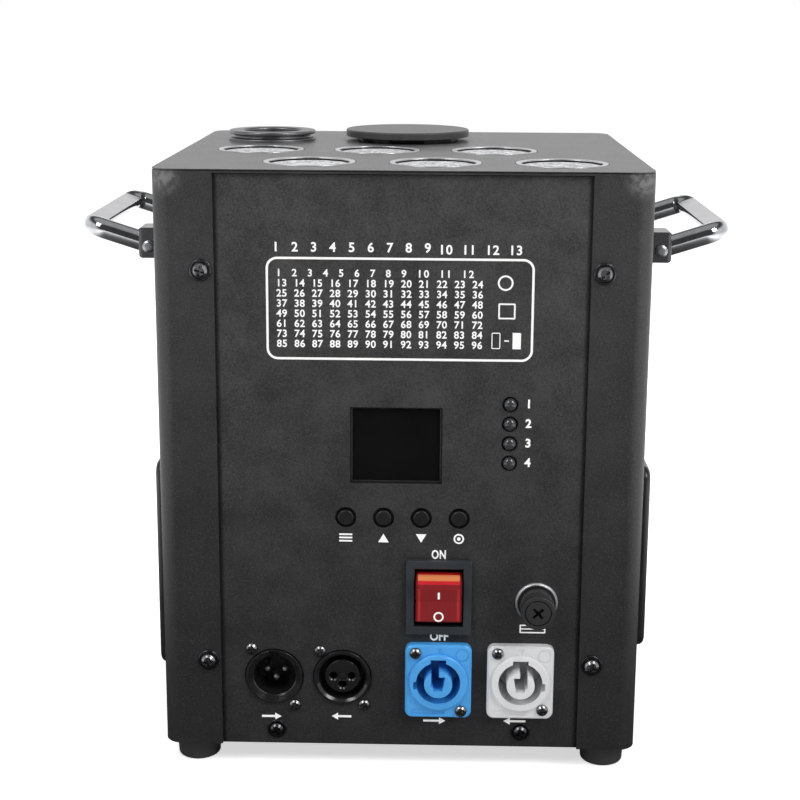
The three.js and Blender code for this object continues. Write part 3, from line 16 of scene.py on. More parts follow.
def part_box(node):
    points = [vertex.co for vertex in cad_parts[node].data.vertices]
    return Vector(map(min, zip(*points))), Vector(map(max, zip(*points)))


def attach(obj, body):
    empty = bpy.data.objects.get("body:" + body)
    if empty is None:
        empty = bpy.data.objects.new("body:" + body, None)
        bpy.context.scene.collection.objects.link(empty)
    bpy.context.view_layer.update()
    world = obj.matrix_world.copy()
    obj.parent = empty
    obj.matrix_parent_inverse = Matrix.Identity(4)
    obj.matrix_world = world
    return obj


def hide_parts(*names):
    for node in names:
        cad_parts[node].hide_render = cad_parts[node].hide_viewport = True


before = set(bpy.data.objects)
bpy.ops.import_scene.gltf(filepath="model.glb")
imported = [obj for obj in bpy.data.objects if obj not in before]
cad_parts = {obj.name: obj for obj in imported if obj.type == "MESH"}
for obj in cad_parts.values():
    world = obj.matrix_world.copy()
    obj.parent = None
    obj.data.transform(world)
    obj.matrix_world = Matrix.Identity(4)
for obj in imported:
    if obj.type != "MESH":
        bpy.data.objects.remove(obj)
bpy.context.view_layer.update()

# %% [markdown]
# ## Measures
# Blender works in metres, but a case like this is drawn in millimetres. All the shapes below are therefore worked out
# in millimetres, and one place, where a mesh is made, turns them into metres.

# %% Millimetres and the places of the CAD nodes
MM = 0.001


def corners_of(node):
    """The lowest and the highest corner of a CAD node, in millimetres."""
    low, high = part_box(node)
    return np.array(low) / MM, np.array(high) / MM


def middle_of(node):
    """The middle of a CAD node's box, in millimetres."""
    low, high = corners_of(node)
    return (low + high) / 2


case_low, case_high = corners_of("outer_casing")
case_middle = (case_low + case_high) / 2
panel_y = corners_of("rear_panel")[0][1]
top_z = case_high[2]
foot_z = case_low[2]
print("case", np.round(case_high - case_low, 2), "panel face at y", round(panel_y, 2))

# %% [markdown]
# ## Forms
# A form here is a pair: the points of a surface and the faces that join them. Most of the machine is turned, pressed
# or moulded, so a few kinds of surface are enough: a profile turned about an axis, a profile carried round a
# rectangle with round corners, and a section carried along a path. Each is a grid of points worked out by numpy in
# one go.

# %% Grids of faces
def quads(rows, columns, wrap_rows=True):
    """Faces of a grid: point (row, column) is joined to the next column, the next row, and the one across. The last
    column is joined to the first, and so is the last row where rows wrap."""
    row, column = np.arange(rows if wrap_rows else rows - 1)[:, None], np.arange(columns)[None, :]
    below, beside = (row + 1) % rows, (column + 1) % columns
    corners = [row * columns + column, row * columns + beside, below * columns + beside, below * columns + column]
    return np.stack(corners, -1).reshape(-1, 4).tolist()


def both(*forms):
    """Several forms as one: their points in one list, and their faces moved up to match."""
    starts = np.cumsum([0] + [len(points) for points, _ in forms])
    faces = [[index + start for index in face] for (_, some), start in zip(forms, starts.tolist()) for face in some]
    return np.concatenate([points for points, _ in forms]), faces


def capped(rings):
    """Rings of equally many points, joined one to the next and closed by a face at each end."""
    count, around = len(rings), len(rings[0])
    ends = [list(range(around))[::-1], list(range((count - 1) * around, count * around))]
    return np.concatenate(rings), quads(count, around, wrap_rows=False) + ends


print("a 3 by 4 grid wrapped both ways has", len(quads(3, 4)), "faces")

# %% [markdown]
# ### Rounded profiles
# No real edge is perfectly sharp, and a render shows it: a small round edge catches a line of light. Each corner of a
# profile may name a fillet. The arc of a fillet touches both edges, and one extra point beside each end of the arc
# keeps the shading of the flats flat.

# %% Rounding a profile
def rounded(corners, closed=True, steps=4, hold=0.3):
    """A profile of (out, up) or (out, up, fillet) corners with their arcs. For edges a and b that leave a corner at
    the half angle h, the arc of radius f starts f / tan h along each, and its centre lies f / sin h along a + b."""
    data = np.array([tuple(corner) + (0.0,) * (3 - len(corner)) for corner in corners])
    spot, fillet = data[:, :2], data[:, 2]
    back, ahead = np.roll(spot, 1, 0) - spot, np.roll(spot, -1, 0) - spot
    back_length, ahead_length = np.linalg.norm(back, axis=1), np.linalg.norm(ahead, axis=1)
    back, ahead = back / back_length[:, None], ahead / ahead_length[:, None]
    half = np.arccos(np.clip((back * ahead).sum(1), -0.9999, 0.9999)) / 2
    reach = fillet / np.tan(half)
    inward = back + ahead
    inward /= np.maximum(np.linalg.norm(inward, axis=1), 1e-9)[:, None]
    centre = spot + inward * (fillet / np.sin(half))[:, None]
    first, last = spot + back * reach[:, None] - centre, spot + ahead * reach[:, None] - centre
    share = np.linspace(0, 1, steps + 1)[None, :, None]
    swing = (np.pi - 2 * half)[:, None, None]
    arc = (np.sin((1 - share) * swing) * first[:, None] + np.sin(share * swing) * last[:, None]) / np.sin(swing)
    free = ahead_length - reach - np.roll(reach, -1)
    beyond = np.minimum(hold, free / 3)
    before = spot + back * (reach + np.roll(beyond, 1))[:, None]
    after = spot + ahead * (reach + beyond)[:, None]
    line = np.concatenate([before[:, None], centre[:, None] + arc, after[:, None]], 1)
    if closed:
        line = line.reshape(-1, 2)
        follow = np.roll(line, -1, 0)
    else:
        line = np.concatenate([spot[:1], line[1:-1].reshape(-1, 2), spot[-1:]])
        follow = np.concatenate([line[1:], line[-1:] + 1])
    return line[np.linalg.norm(follow - line, axis=1) > 1e-5]


print("a square with one round corner has", len(rounded([(0, 0), (4, 0), (4, 4, 1), (0, 4)])), "points")


# %% Turned forms
def turned(profile, sides=72, closed=True, x=0.0, y=0.0):
    """A profile of (radius, height) turned about the outward axis: (r(v) cos u, r(v) sin u, h(v)). An open profile
    starts and ends on the axis."""
    turn = np.arange(sides) * (2 * np.pi / sides)
    radius, height = np.asarray(profile, float).T
    across = [np.outer(radius, np.cos(turn)) + x, np.outer(radius, np.sin(turn)) + y]
    points = np.stack(across + [np.repeat(height[:, None], sides, 1)], -1).reshape(-1, 3)
    return points, quads(len(radius), sides, wrap_rows=closed)


def bar(radius, low, high, sides=48, x=0.0, y=0.0):
    """A plain round bar between two heights."""
    return turned([(0, low), (radius, low), (radius, high), (0, high)], sides, closed=False, x=x, y=y)


def lathe(corners, sides, x=0.0, y=0.0):
    """A solid turned from the corners of its profile, which start and end on the axis."""
    return turned(rounded(corners, closed=False), sides, closed=False, x=x, y=y)


print("a bar has", len(bar(1, 0, 1)[0]), "points")


# %% Forms with round corners
def round_rectangle(width, height, radius, steps=8, x=0.0, y=0.0):
    """Points once round a rectangle: at each corner k the quarter circle from k to k + 1 right angles."""
    radius = max(radius, 0.02)
    corner = np.arange(4)[:, None]
    angle = np.linspace(0, np.pi / 2, steps + 1)[None, :] + corner * np.pi / 2
    middle_x = (width / 2 - radius) * np.array([1, -1, -1, 1])[:, None]
    middle_y = (height / 2 - radius) * np.array([1, 1, -1, -1])[:, None]
    return np.stack([x + middle_x + radius * np.cos(angle), y + middle_y + radius * np.sin(angle)], -1).reshape(-1, 2)


def ring_at(outline, height):
    """A flat outline lifted to a height."""
    return np.column_stack([outline, np.full(len(outline), float(height))])


def moulded(width, height, radius, profile, steps=8, x=0.0, y=0.0, closed=False):
    """A profile of (inset, height) carried round a rectangle with round corners. A closed profile makes a frame."""
    rings = [ring_at(round_rectangle(width - 2 * inset, height - 2 * inset, radius - inset, steps, x, y), lift)
             for inset, lift in profile]
    if closed:
        return np.concatenate(rings), quads(len(rings), len(rings[0]))
    return capped(rings)


def block(low, high):
    """A box between two corners."""
    (x0, y0, z0), (x1, y1, z1) = low, high
    outline = np.array([(x0, y0), (x1, y0), (x1, y1), (x0, y1)], float)
    return capped([ring_at(outline, z0), ring_at(outline, z1)])


print("a moulded ring with 8 steps a corner has", len(round_rectangle(10, 10, 2)), "points round")

# %% [markdown]
# ### Which way a form faces
# Each form is drawn with its outward direction along Z, as it would lie on a bench. What faces up stays so, and the
# rest is turned to the rear, to the front or to a side, the same way as in the CAD model.

# %% Placing a form
FACINGS = {
    "rear": np.array([(1, 0, 0), (0, 0, 1), (0, -1, 0)], float),
    "front": np.array([(-1, 0, 0), (0, 0, 1), (0, 1, 0)], float),
    "right": np.array([(0, 1, 0), (0, 0, 1), (1, 0, 0)], float),
    "left": np.array([(0, -1, 0), (0, 0, 1), (-1, 0, 0)], float),
}


def faced(form, facing, place=(0.0, 0.0, 0.0)):
    """The form's across, up and outward directions turned to the machine's, then moved to a place."""
    points, faces = form
    return points @ FACINGS[facing] + np.array(place, float), faces


def on_panel(form):
    """A form drawn in millimetres across and above the floor, on the face of the control panel."""
    return faced(form, "rear", (0, panel_y, 0))


print("outward on the panel is", on_panel((np.array([(0, 0, 1.0)]), []))[0][0] - (0, panel_y, 0))


# %% [markdown]
# ### Cutting
# Notches, slots and cross recesses are cut as a machinist would, with a tool of the right shape. Blender's Boolean
# modifier does it, and its result is read back as a form so that it can be placed and joined like the others.

# %% Cutting a form with others
def bare_object(form, name="blank"):
    """A plain mesh object of a form, with its points merged and its faces turned outwards."""
    mesh = bpy.data.meshes.new(name)
    points, faces = form
    mesh.from_pydata((points * MM).tolist(), [], faces)
    tool = bmesh.new()
    tool.from_mesh(mesh)
    bmesh.ops.remove_doubles(tool, verts=tool.verts, dist=1e-6)
    bmesh.ops.dissolve_degenerate(tool, edges=tool.edges, dist=1e-7)
    bmesh.ops.recalc_face_normals(tool, faces=tool.faces)
    tool.to_mesh(mesh)
    tool.free()
    made = bpy.data.objects.new(name, mesh)
    bpy.context.scene.collection.objects.link(made)
    return made


def form_of(thing):
    """The form of an object with its modifiers done, and the object gone."""
    bpy.context.view_layer.update()
    finished = thing.evaluated_get(bpy.context.evaluated_depsgraph_get())
    mesh = bpy.data.meshes.new_from_object(finished)
    points = np.empty(len(mesh.vertices) * 3, np.float32)
    mesh.vertices.foreach_get("co", points)
    faces = [list(face.vertices) for face in mesh.polygons]
    bpy.data.objects.remove(thing)
    bpy.data.meshes.remove(mesh)
    return points.reshape(-1, 3).astype(float) / MM, faces


def boolean(form, tools, operation="DIFFERENCE"):
    """The form less its tools, or joined with them. Tools in one call don't touch each other."""
    blank, tool = bare_object(form), bare_object(both(*tools), "tool")
    modifier = blank.modifiers.new("cut", "BOOLEAN")
    modifier.operation = operation
    modifier.solver = "EXACT"
    modifier.object = tool
    result = form_of(blank)
    bpy.data.objects.remove(tool)
    return result


def cut(form, *tools):
    """The form less its tools."""
    return boolean(form, tools)


def spun(form, turn, x=0.0, y=0.0, base=0.0):
    """A form turned about its outward axis, x' = x cos t - y sin t and y' = x sin t + y cos t, and then moved."""
    points, faces = form
    spin = np.array([(math.cos(turn), math.sin(turn), 0), (-math.sin(turn), math.cos(turn), 0), (0, 0, 1)])
    return points @ spin + np.array([x, y, base]), faces


def cross(x, y, face, length, width, depth):
    """The two bars of a cross recess, joined, from the face down to the depth."""
    bars = [block((x - length / 2, y - width / 2, face - depth), (x + length / 2, y + width / 2, face + 1)),
            block((x - width / 2, y - length / 2, face - depth), (x + width / 2, y + length / 2, face + 1))]
    return boolean(bars[0], bars[1:], "UNION")


print("a cross has", len(cross(0, 0, 0, 4, 1, 1)[1]), "faces")

# %% [markdown]
# ### From a form to a piece
# A piece is one mesh object with its own finish, which rides on a body of the CAD model. Where it stands for a CAD
# node, that node is hidden. Edges that turn more than 32 degrees stay sharp, a Bevel modifier may break them, and a
# Weighted Normal modifier keeps broad flats flat where they meet a small round.

# %% Making a piece
made_pieces = []


def piece(name, form, finish, body="chassis", replaces=(), edge=0.0, sharp=32.0, steps=2):
    """A form made into a piece. Its edges that turn more than the sharp angle are broken by the edge, if any."""
    thing = bare_object(form, name)
    mesh = thing.data
    mesh.polygons.foreach_set("use_smooth", [True] * len(mesh.polygons))
    mesh.set_sharp_from_angle(angle=math.radians(sharp))
    mesh.materials.append(finish)
    if edge:
        bevel = thing.modifiers.new("broken edges", "BEVEL")
        bevel.width, bevel.segments, bevel.limit_method = edge * MM, steps, "ANGLE"
        bevel.angle_limit = math.radians(sharp)
        bevel.harden_normals = True
        bevel.use_clamp_overlap = True
    flats = thing.modifiers.new("flat flats", "WEIGHTED_NORMAL")
    flats.keep_sharp = True
    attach(thing, body)
    if replaces:
        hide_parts(*replaces)
    made_pieces.append(name)
    return thing


print("ready to make pieces")

# %% [markdown]
# ## Finishes
# A finish is a Principled shader with a few nodes in front of it. Shader maths reads best as ordinary expressions, so
# one small class wraps an output socket and turns Python's operators into Math nodes. Every other node is made by one
# method of the finish, which takes the node's type, its settings and what goes into its sockets.

# %% Shader maths as Python
def joined(operation):
    """A method that joins a wire and another value in one Math node."""
    return lambda wire, other: wire.maths(operation, wire, other)


class Wire:
    """An output socket of a finish."""

    __add__ = __radd__ = joined("ADD")
    __mul__ = __rmul__ = joined("MULTIPLY")
    __sub__, __truediv__, __pow__ = joined("SUBTRACT"), joined("DIVIDE"), joined("POWER")
    __gt__, __lt__ = joined("GREATER_THAN"), joined("LESS_THAN")
    least, most = joined("MINIMUM"), joined("MAXIMUM")

    def __init__(self, finish, socket):
        self.finish, self.socket = finish, socket

    def maths(self, operation, first, second=0.0):
        return self.finish.node("ShaderNodeMath", {"operation": operation}, {0: first, 1: second})

    def sine(self):
        return self.maths("SINE", self)

    def __rsub__(self, other):
        return self.maths("SUBTRACT", other, self)

    def __abs__(self):
        return self.maths("ABSOLUTE", self)

    def between(self, low, high):
        """0 below the low value, 1 above the high one, and a smooth step between them."""
        return self.finish.node("ShaderNodeMapRange", {"interpolation_type": "SMOOTHSTEP"},
                                {"Value": self, "From Min": low, "From Max": high})


def srgb(red, green, blue):
    """A colour read off a screen, 0 to 255 a channel, as the linear light that a shader works in."""
    share = np.array([red, green, blue]) / 255
    linear = np.where(share <= 0.04045, share / 12.92, ((share + 0.055) / 1.055) ** 2.4)
    return (*linear.tolist(), 1.0)


class Finish:
    """A material: constants on the shader's own sockets, and nodes for what changes over the surface."""

    def __init__(self, name, **constants):
        self.material = bpy.data.materials.new(name)
        self.material.use_nodes = True
        self.tree = self.material.node_tree
        self.shader = self.tree.nodes["Principled BSDF"]
        for socket, value in constants.items():
            self.shader.inputs[socket.replace("_", " ")].default_value = value
        self.place = self.node("ShaderNodeTexCoord", output="Object")

    def feed(self, socket, value):
        if isinstance(value, Wire):
            self.tree.links.new(value.socket, socket)
        else:
            socket.default_value = value

    def node(self, kind, settings=None, sockets=None, output=0):
        made = self.tree.nodes.new(kind)
        for name, value in (settings or {}).items():
            if name == "stops":
                self.set_stops(made.color_ramp, value)
            else:
                setattr(made, name, value)
        for key, value in (sockets or {}).items():
            self.feed(made.inputs[key], value)
        return Wire(self, made.outputs[output])

    def set_stops(self, ramp, stops):
        """The colours of a ramp, each with its place from 0 to 1."""
        while len(ramp.elements) < len(stops):
            ramp.elements.new(1.0)
        for element, (place, colour) in zip(ramp.elements, stops):
            element.position, element.color = place, colour

    def noise(self, scale, detail=2.0, roughness=0.5, place=None):
        sockets = {"Vector": place or self.place, "Scale": scale, "Detail": detail, "Roughness": roughness}
        return self.node("ShaderNodeTexNoise", {}, sockets)

    def stretched(self, scale, along=(1, 1, 1), detail=2.0):
        """Noise drawn out along an axis, for brushed metal: a Mapping node scales the place first."""
        place = self.node("ShaderNodeMapping", {}, {"Vector": self.place, "Scale": along})
        return self.noise(scale, detail, place=place)

    def parts(self):
        """The x, y and z of the place on the object."""
        split = self.node("ShaderNodeSeparateXYZ", {}, {0: self.place})
        return [Wire(self, output) for output in split.socket.node.outputs]

    def mix(self, share, first, second):
        """A colour between two, by a share from 0 to 1."""
        made = self.node("ShaderNodeMix", {"data_type": "RGBA"}, output=2)
        inputs = made.socket.node.inputs
        for index, value in ((0, share), (6, first), (7, second)):
            self.feed(inputs[index], value)
        return made

    def set(self, **sockets):
        for socket, value in sockets.items():
            self.feed(self.shader.inputs[socket.replace("_", " ")], value)

    def bump(self, height, strength=0.3, distance=0.0001):
        self.set(Normal=self.node("ShaderNodeBump", {}, {"Height": height, "Strength": strength,
                                                         "Distance": distance}))
        return self.material


print("a mid grey on screen is", round(srgb(128, 128, 128)[0], 3), "in light")

# %% [markdown]
# ### Painted sheet metal
# The case has a charcoal powder coat. Powder melts into a skin of tiny rounded grains a bit under a millimetre
# across, so the bump is a fine noise, and grains that stand up a little catch the light. Over it lies a slow change
# of tone from handling and dust, painted shade darkens it toward the floor, and the panel is drawn a shade lighter and
# grainier than the flanges round it.

# %% Powder coats
def powder_coat(name, dark, light, roughness=0.5, grain=0.3, specular=0.5, top=None, window=None):
    """A coat between two tones, with painted shade that makes it darker toward the floor. Above the height given as
    the top it is mottled and painted lighter, as sheen for the room that a level plate mirrors, and just below, along
    the bend at each side, it has a lighter mottled patch. Close to the sides of the window given it is painted near
    black, as the shadow that the flanges cast on the panel."""
    finish = Finish(name, Specular_IOR_Level=specular)
    fine = finish.noise(1500, 2.0, 0.6)
    coarse = finish.noise(60, 3.0, 0.6)
    speck = finish.noise(2600, 1.0).between(0.62, 0.72)
    height = finish.parts()[2]
    # Painted shade: the tone is scaled down toward the floor, and low down the colour is then mixed toward near black.
    tone = (fine * 0.55 + coarse * 0.45).between(0.3, 0.72) * (0.5 + 0.5 * height.between(0.0, 0.26))
    colour, rough = finish.mix(tone, dark, light), roughness - 0.08 * speck + 0.1 * coarse
    colour = finish.mix((1 - height.between(-0.02, 0.24)) * 0.4, colour, srgb(12, 12, 12))
    if top:
        # Painted sheen: above the top height the coat is drawn lighter, for the room that the level plate mirrors.
        level = height > top * MM
        colour = finish.mix(level, colour, finish.mix(tone, srgb(50, 50, 50), srgb(98, 98, 98)))
        rough = rough - 0.02 * level
        out, _, up = finish.parts()
        reach = ((abs(out) - CORNER_SPOT[0] * MM) ** 2 + (up - CORNER_SPOT[1] * MM) ** 2) ** 0.5
        # A lighter mottled patch near the top of each corner, under the top plate.
        corner_patch = (1 - reach.between(1 * MM, 9 * MM)) * (0.25 + 0.75 * finish.noise(500, 3.0).between(0.35, 0.65))
        colour = finish.mix(corner_patch * (1 - level), colour, srgb(118, 118, 118))
    # Painted shadow: the panel is drawn near black close to the window's sides, where the flanges shade it.
    if window:
        colour = finish.mix(abs(finish.parts()[0]).between((window - 2.2) * MM, (window - 0.3) * MM) * 0.85, colour,
                            srgb(6, 6, 6))
    finish.set(Base_Color=finish.mix(speck * 0.14, colour, srgb(150, 152, 156)), Roughness=rough)
    return finish.bump(fine + 0.4 * finish.noise(700, 1.0), grain, 0.00012)


CORNER_SPOT = (case_high[0] - 4.6, top_z - 3.2)
WINDOW_HALF = 72.1
case_coat = powder_coat("charcoal_coat_case", srgb(40, 40, 40), srgb(60, 60, 60), 0.38, 0.5, top=top_z - 0.2)
panel_coat = powder_coat("charcoal_coat_panel", srgb(38, 38, 38), srgb(74, 74, 74), 0.46, 0.6,
                         window=WINDOW_HALF)
black_coat = powder_coat("black_coat", srgb(20, 20, 20), srgb(32, 32, 32), 0.42, 0.2)
# The black lid is drawn mid grey: painted sheen for what its coat mirrors.
lid_coat_painted_sheen = powder_coat("black_coat_lid_painted_sheen", srgb(66, 66, 67), srgb(82, 82, 83), 0.36, 0.15, 0.22)
print("powder coats done")

# %% [markdown]
# ### Metals
# Metals differ by colour and by how they were worked. Plating is smooth and mirrors the room, a brushed flat has fine
# lines across it, rolled sheet is soft and a little patchy, and a heated tube is stained brown and blue.

# %% Metals
def metal(name, colour, roughness, patch=0.05, scale=90.0, along=(1, 1, 1), scratch=0.06, grain=0.0, shade_heights=None):
    """A metal of one colour. Between two heights, in millimetres, where they are given, it is painted dark grey as
    shade.
    """
    finish = Finish(name, Metallic=1.0)
    cloud = finish.noise(scale, 3.0, 0.6)
    lines = finish.stretched(400, along, 3.0)
    shade = tuple(channel * 0.72 for channel in colour[:3]) + (1.0,)
    tone = finish.mix((cloud * 0.5 + lines * 0.5).between(0.25, 0.75), shade, colour)
    # Painted shade: a dark grey band between the two heights.
    if shade_heights:
        height = finish.parts()[2]
        tone = finish.mix((height > shade_heights[0] * MM) * (height < shade_heights[1] * MM), tone, srgb(46, 46, 46))
    finish.set(Base_Color=tone, Roughness=roughness + patch * cloud + scratch * lines)
    return finish.bump(lines, grain, 0.00004)


chrome = metal("chrome", srgb(214, 216, 220), 0.06, 0.05, 120, (1, 1, 1), 0.02, 0.02)
brushed_chrome = metal("chrome_brushed", srgb(222, 222, 224), 0.28, 0.06, 120, (1, 14, 1), 0.1, 0.2)
dark_nickel = metal("dark_nickel", srgb(96, 96, 99), 0.18, 0.08, 140, (1, 1, 1), 0.06, 0.05)
steel = metal("steel", srgb(176, 178, 182), 0.25, 0.08, 200, (6, 1, 1), 0.08, 0.1)
galvanised_sheet = metal("galvanised_sheet", srgb(170, 174, 178), 0.38, 0.16, 35, (1, 1, 1), 0.1, 0.05)
silver_rim = metal("silver_lamp", srgb(226, 227, 229), 0.34, 0.08, 300, (1, 1, 1), 0.12, 0.15)
# The rim's inner wall below its lip is painted dark as shade.
lamp_rim = metal("silver_lamp_rim", srgb(214, 215, 216), 0.24, 0.06, 300, (1, 1, 1), 0.1, 0.1,
                 shade_heights=(top_z - 9, top_z - 0.35))
# The hopper's neck under the lid is painted dark as the lid's shadow.
hopper_steel = metal("steel_hopper", srgb(176, 178, 182), 0.25, 0.08, 200, (6, 1, 1), 0.08, 0.1,
                     shade_heights=(top_z - 1, top_z + 9))
mouth_metal = metal("dark_nickel_mouth", srgb(138, 138, 140), 0.33, 0.08, 140, (1, 1, 1), 0.06, 0.05)
bright_nickel = metal("dark_nickel_screw", srgb(150, 150, 152), 0.2, 0.08, 200, (1, 1, 1), 0.06, 0.05)
reflector = metal("silver_lamp_reflector", srgb(216, 217, 220), 0.2, 0.08, 200, (1, 1, 1), 0.06, 0.05)
mirror = Finish("silver_lamp_foil", Metallic=0.25, Coat_Weight=0.12, Coat_Roughness=0.2)
crease = mirror.noise(420, 3.0, 0.65)
mirror.set(Base_Color=mirror.mix(crease.between(0.36, 0.6), srgb(132, 133, 135), srgb(208, 209, 211)),
           Roughness=0.34 + 0.22 * mirror.noise(900, 2.0))
foil = mirror.bump(crease, 0.14, 0.0004)
copper_winding = metal("copper_winding", srgb(190, 118, 72), 0.3, 0.1, 200, (1, 1, 20), 0.15, 0.3)
heated = Finish("heated_steel", Metallic=1.0)
stain = (heated.parts()[2] * 30 + heated.noise(25, 3.0) * 1.6) / 8
heated.set(Base_Color=heated.node("ShaderNodeValToRGB", {"stops": [
    (0.15, srgb(150, 140, 128)), (0.4, srgb(140, 112, 82)), (0.6, srgb(104, 84, 96)), (0.9, srgb(84, 96, 124))]},
    {0: stain}), Roughness=0.3 + 0.2 * heated.noise(150, 2.0))
heated_steel = heated.bump(heated.noise(400), 0.05)
print("metals done")

# %% [markdown]
# ### Plastics, rubber and glass
# Moulded plastic has a satin skin with a very fine texture from the mould. Rubber is dull, the display and the lights
# have a glossy dark skin, and the fuse is clear glass. The red of the rocker is made later, with the rocker.

# %% Plastics and the rest
def plastic(name, colour, roughness=0.4, grain=0.06, vary=0.12, **constants):
    finish = Finish(name, **constants)
    skin = finish.noise(1800, 2.0)
    cloud = finish.noise(70, 3.0)
    shade = tuple(channel * (1 - 2 * vary) for channel in colour[:3]) + (1.0,)
    finish.set(Base_Color=finish.mix(cloud.between(0.25, 0.75), shade, colour),
               Roughness=roughness - 0.05 + 0.1 * cloud + 0.05 * skin)
    return finish.bump(skin, grain, 0.00005)


black_plastic = plastic("black_plastic", srgb(33, 33, 34), 0.28)
knob_black = plastic("black_plastic_knob", srgb(54, 54, 54), 0.22)
gloss_black = plastic("black_plastic_gloss", srgb(30, 30, 31), 0.18, 0.04)
slate_plastic = plastic("slate_plastic", srgb(52, 57, 62), 0.36)
blue_plastic = plastic("blue_plastic", srgb(74, 168, 240), 0.34, 0.04, 0.05)
grey_plastic = plastic("grey_plastic", srgb(226, 227, 228), 0.34, 0.04, 0.03)
rubber = plastic("rubber", srgb(62, 62, 62), 0.75, 0.3, 0.1)
# The ink glows a little, as painted light, so that it stays bright white.
glowing_white_print = plastic("glowing_white_print", srgb(248, 248, 246), 0.5, 0.1, 0.02, Emission_Color=(1, 1, 1, 1),
                      Emission_Strength=0.12)
smoked_lens = plastic("smoked_lens", srgb(58, 59, 61), 0.12, 0.0, 0.05, Coat_Weight=0.6, Coat_Roughness=0.03)
display_glass = plastic("display_glass", srgb(19, 19, 20), 0.2, 0.0, 0.1, Specular_IOR_Level=0.07)
fuse_glass = plastic("fuse_glass", srgb(205, 214, 214), 0.08, 0.0, 0.03, Transmission_Weight=0.8)
circuit_board = plastic("circuit_board", srgb(34, 92, 52), 0.35, 0.1, 0.15)
print("finishes:", len(bpy.data.materials))

# %% [markdown]
# ## The case
# The case is one sheet bent and welded into a shell: the top, the two sides and a flange round each panel. A press
# makes such a shell from the flat, but the quickest way to its shape here is a machinist's: a solid block with the
# outer roundings, less the room inside, less the two window openings, less the round holes in the top and sides. The
# sides bow out a little between their bends, a fine seam runs round just under the top, and a skirt of less than a
# millimetre reaches below the tray.

# %% The case shell
CORNER, SHEET, BOW = 7.0, 1.5, 0.4
SEAM_TOP, SEAM_FOOT, SEAM_DEPTH, SKIRT = 0.3, 0.8, 0.5, 0.8
LAMPS = [f"lamp_{number}" for number in range(1, 7)]
SIDES = {"left": -1, "right": 1}
case_size = case_high - case_low
edge_profile = [(0, foot_z - SKIRT), (0, top_z - SEAM_FOOT), (SEAM_DEPTH, top_z - SEAM_FOOT),
                (SEAM_DEPTH, top_z - SEAM_TOP), (0, top_z - SEAM_TOP), (0, top_z)]
centre_x, centre_y = case_middle[:2]
shell = cut(
    moulded(case_size[0] + 2 * BOW, case_size[1], CORNER, edge_profile, 12, centre_x, centre_y),
    moulded(case_size[0] - 2 * SHEET, case_size[1] - 2 * SHEET, CORNER - SHEET,
            [(0, foot_z - 5), (0, top_z - SHEET)], 10, centre_x, centre_y))
shell = cut(shell, block((-WINDOW_HALF, case_low[1] - 2, foot_z - 5),
                         (WINDOW_HALF, case_high[1] + 2, top_z - SHEET)))
TOP_HOLES = {**{lamp: 18.6 for lamp in LAMPS}, "spark_outlet": 15.6, "hopper_cap": 23.3}
FAN_MARGIN = 2.2
holes = [bar(radius, top_z - 5, top_z + 5, 72, *middle_of(node)[:2]) for node, radius in TOP_HOLES.items()]
for side, sign in SIDES.items():
    fan = middle_of(f"{side}_fan_frame")
    opening = corners_of(f"{side}_fan_frame")
    holes.append(faced(bar((opening[1] - opening[0])[2] / 2 - FAN_MARGIN, -5, 5, 72), side,
                       (sign * case_size[0] / 2, fan[1], fan[2])))
piece("case_shell", cut(shell, *holes), case_coat, replaces=["outer_casing"], edge=0.18)
print("case shell with", len(holes), "round holes")

# %% [markdown]
# ## The control panel
# The panel is a flat plate a sheet's thickness behind the flanges, punched for everything that it carries. Each hole
# takes its place from the CAD node that fills it, and the switch, the fuse and the sockets are then set over by the
# millimetre or so that the picture shows.

# %% The punched panel
def spot_of(node):
    """Where a node is on the panel: across, and up from the floor."""
    return middle_of(node)[[0, 2]]


SWITCH_SET, FUSE_SET = np.array([-0.35, 1.2]), np.array([-0.2, 0.8])
PIN_SOCKET_SET, MAINS_SET = np.array([0.33, 0.0]), np.array([0.0, 1.62])
BUTTONS = ["menu_button", "up_button", "down_button", "enter_button"]
panel_low, panel_high = corners_of("rear_panel")
display_low, display_high = corners_of("display_module")
BEZEL, LIGHT_INSET = 4.5, 3.5
window_size = (display_high - display_low)[[0, 2]] - 2 * BEZEL
lights_low, lights_high = corners_of("indicator_lights")
light_x = (lights_low + lights_high)[0] / 2
light_heights = np.linspace(lights_high[2] - LIGHT_INSET, lights_low[2] + LIGHT_INSET, 4)
switch_x, switch_z = spot_of("switch_frame") + SWITCH_SET
plate = block((panel_low[0], panel_low[2] - SKIRT, -SHEET), (panel_high[0], panel_high[2], 0))
through = [(0, -5), (0, 5)]
CONTROL_HOLE, MAINS_HOLE, FUSE_HOLE, BUTTON_HOLE, LIGHT_HOLE = 11.8, 11.9, 6.5, 4.2, 3.1
SWITCH_HOLE = (23.1, 27.6)
punches = [moulded(*window_size, 0.6, through, 4, *spot_of("display_module")),
           moulded(*SWITCH_HOLE, 0.3, through, 2, switch_x, switch_z)]
punches += [bar(radius, -5, 5, 64, *(spot_of(node) + over)) for node, radius, over in [
    ("control_socket_in", CONTROL_HOLE, PIN_SOCKET_SET), ("control_socket_out", CONTROL_HOLE, 0),
    ("mains_socket_in", MAINS_HOLE, MAINS_SET), ("mains_socket_out", MAINS_HOLE, MAINS_SET),
    ("fuse_holder", FUSE_HOLE, FUSE_SET)]]
punches += [bar(BUTTON_HOLE, -5, 5, 48, *spot_of(button)) for button in BUTTONS]
punches += [bar(LIGHT_HOLE, -5, 5, 48, light_x, height) for height in light_heights]
piece("control_panel", on_panel(cut(plate, *punches)), panel_coat, replaces=["rear_panel"],
      edge=0.22)
print("panel with", len(punches), "punched holes")

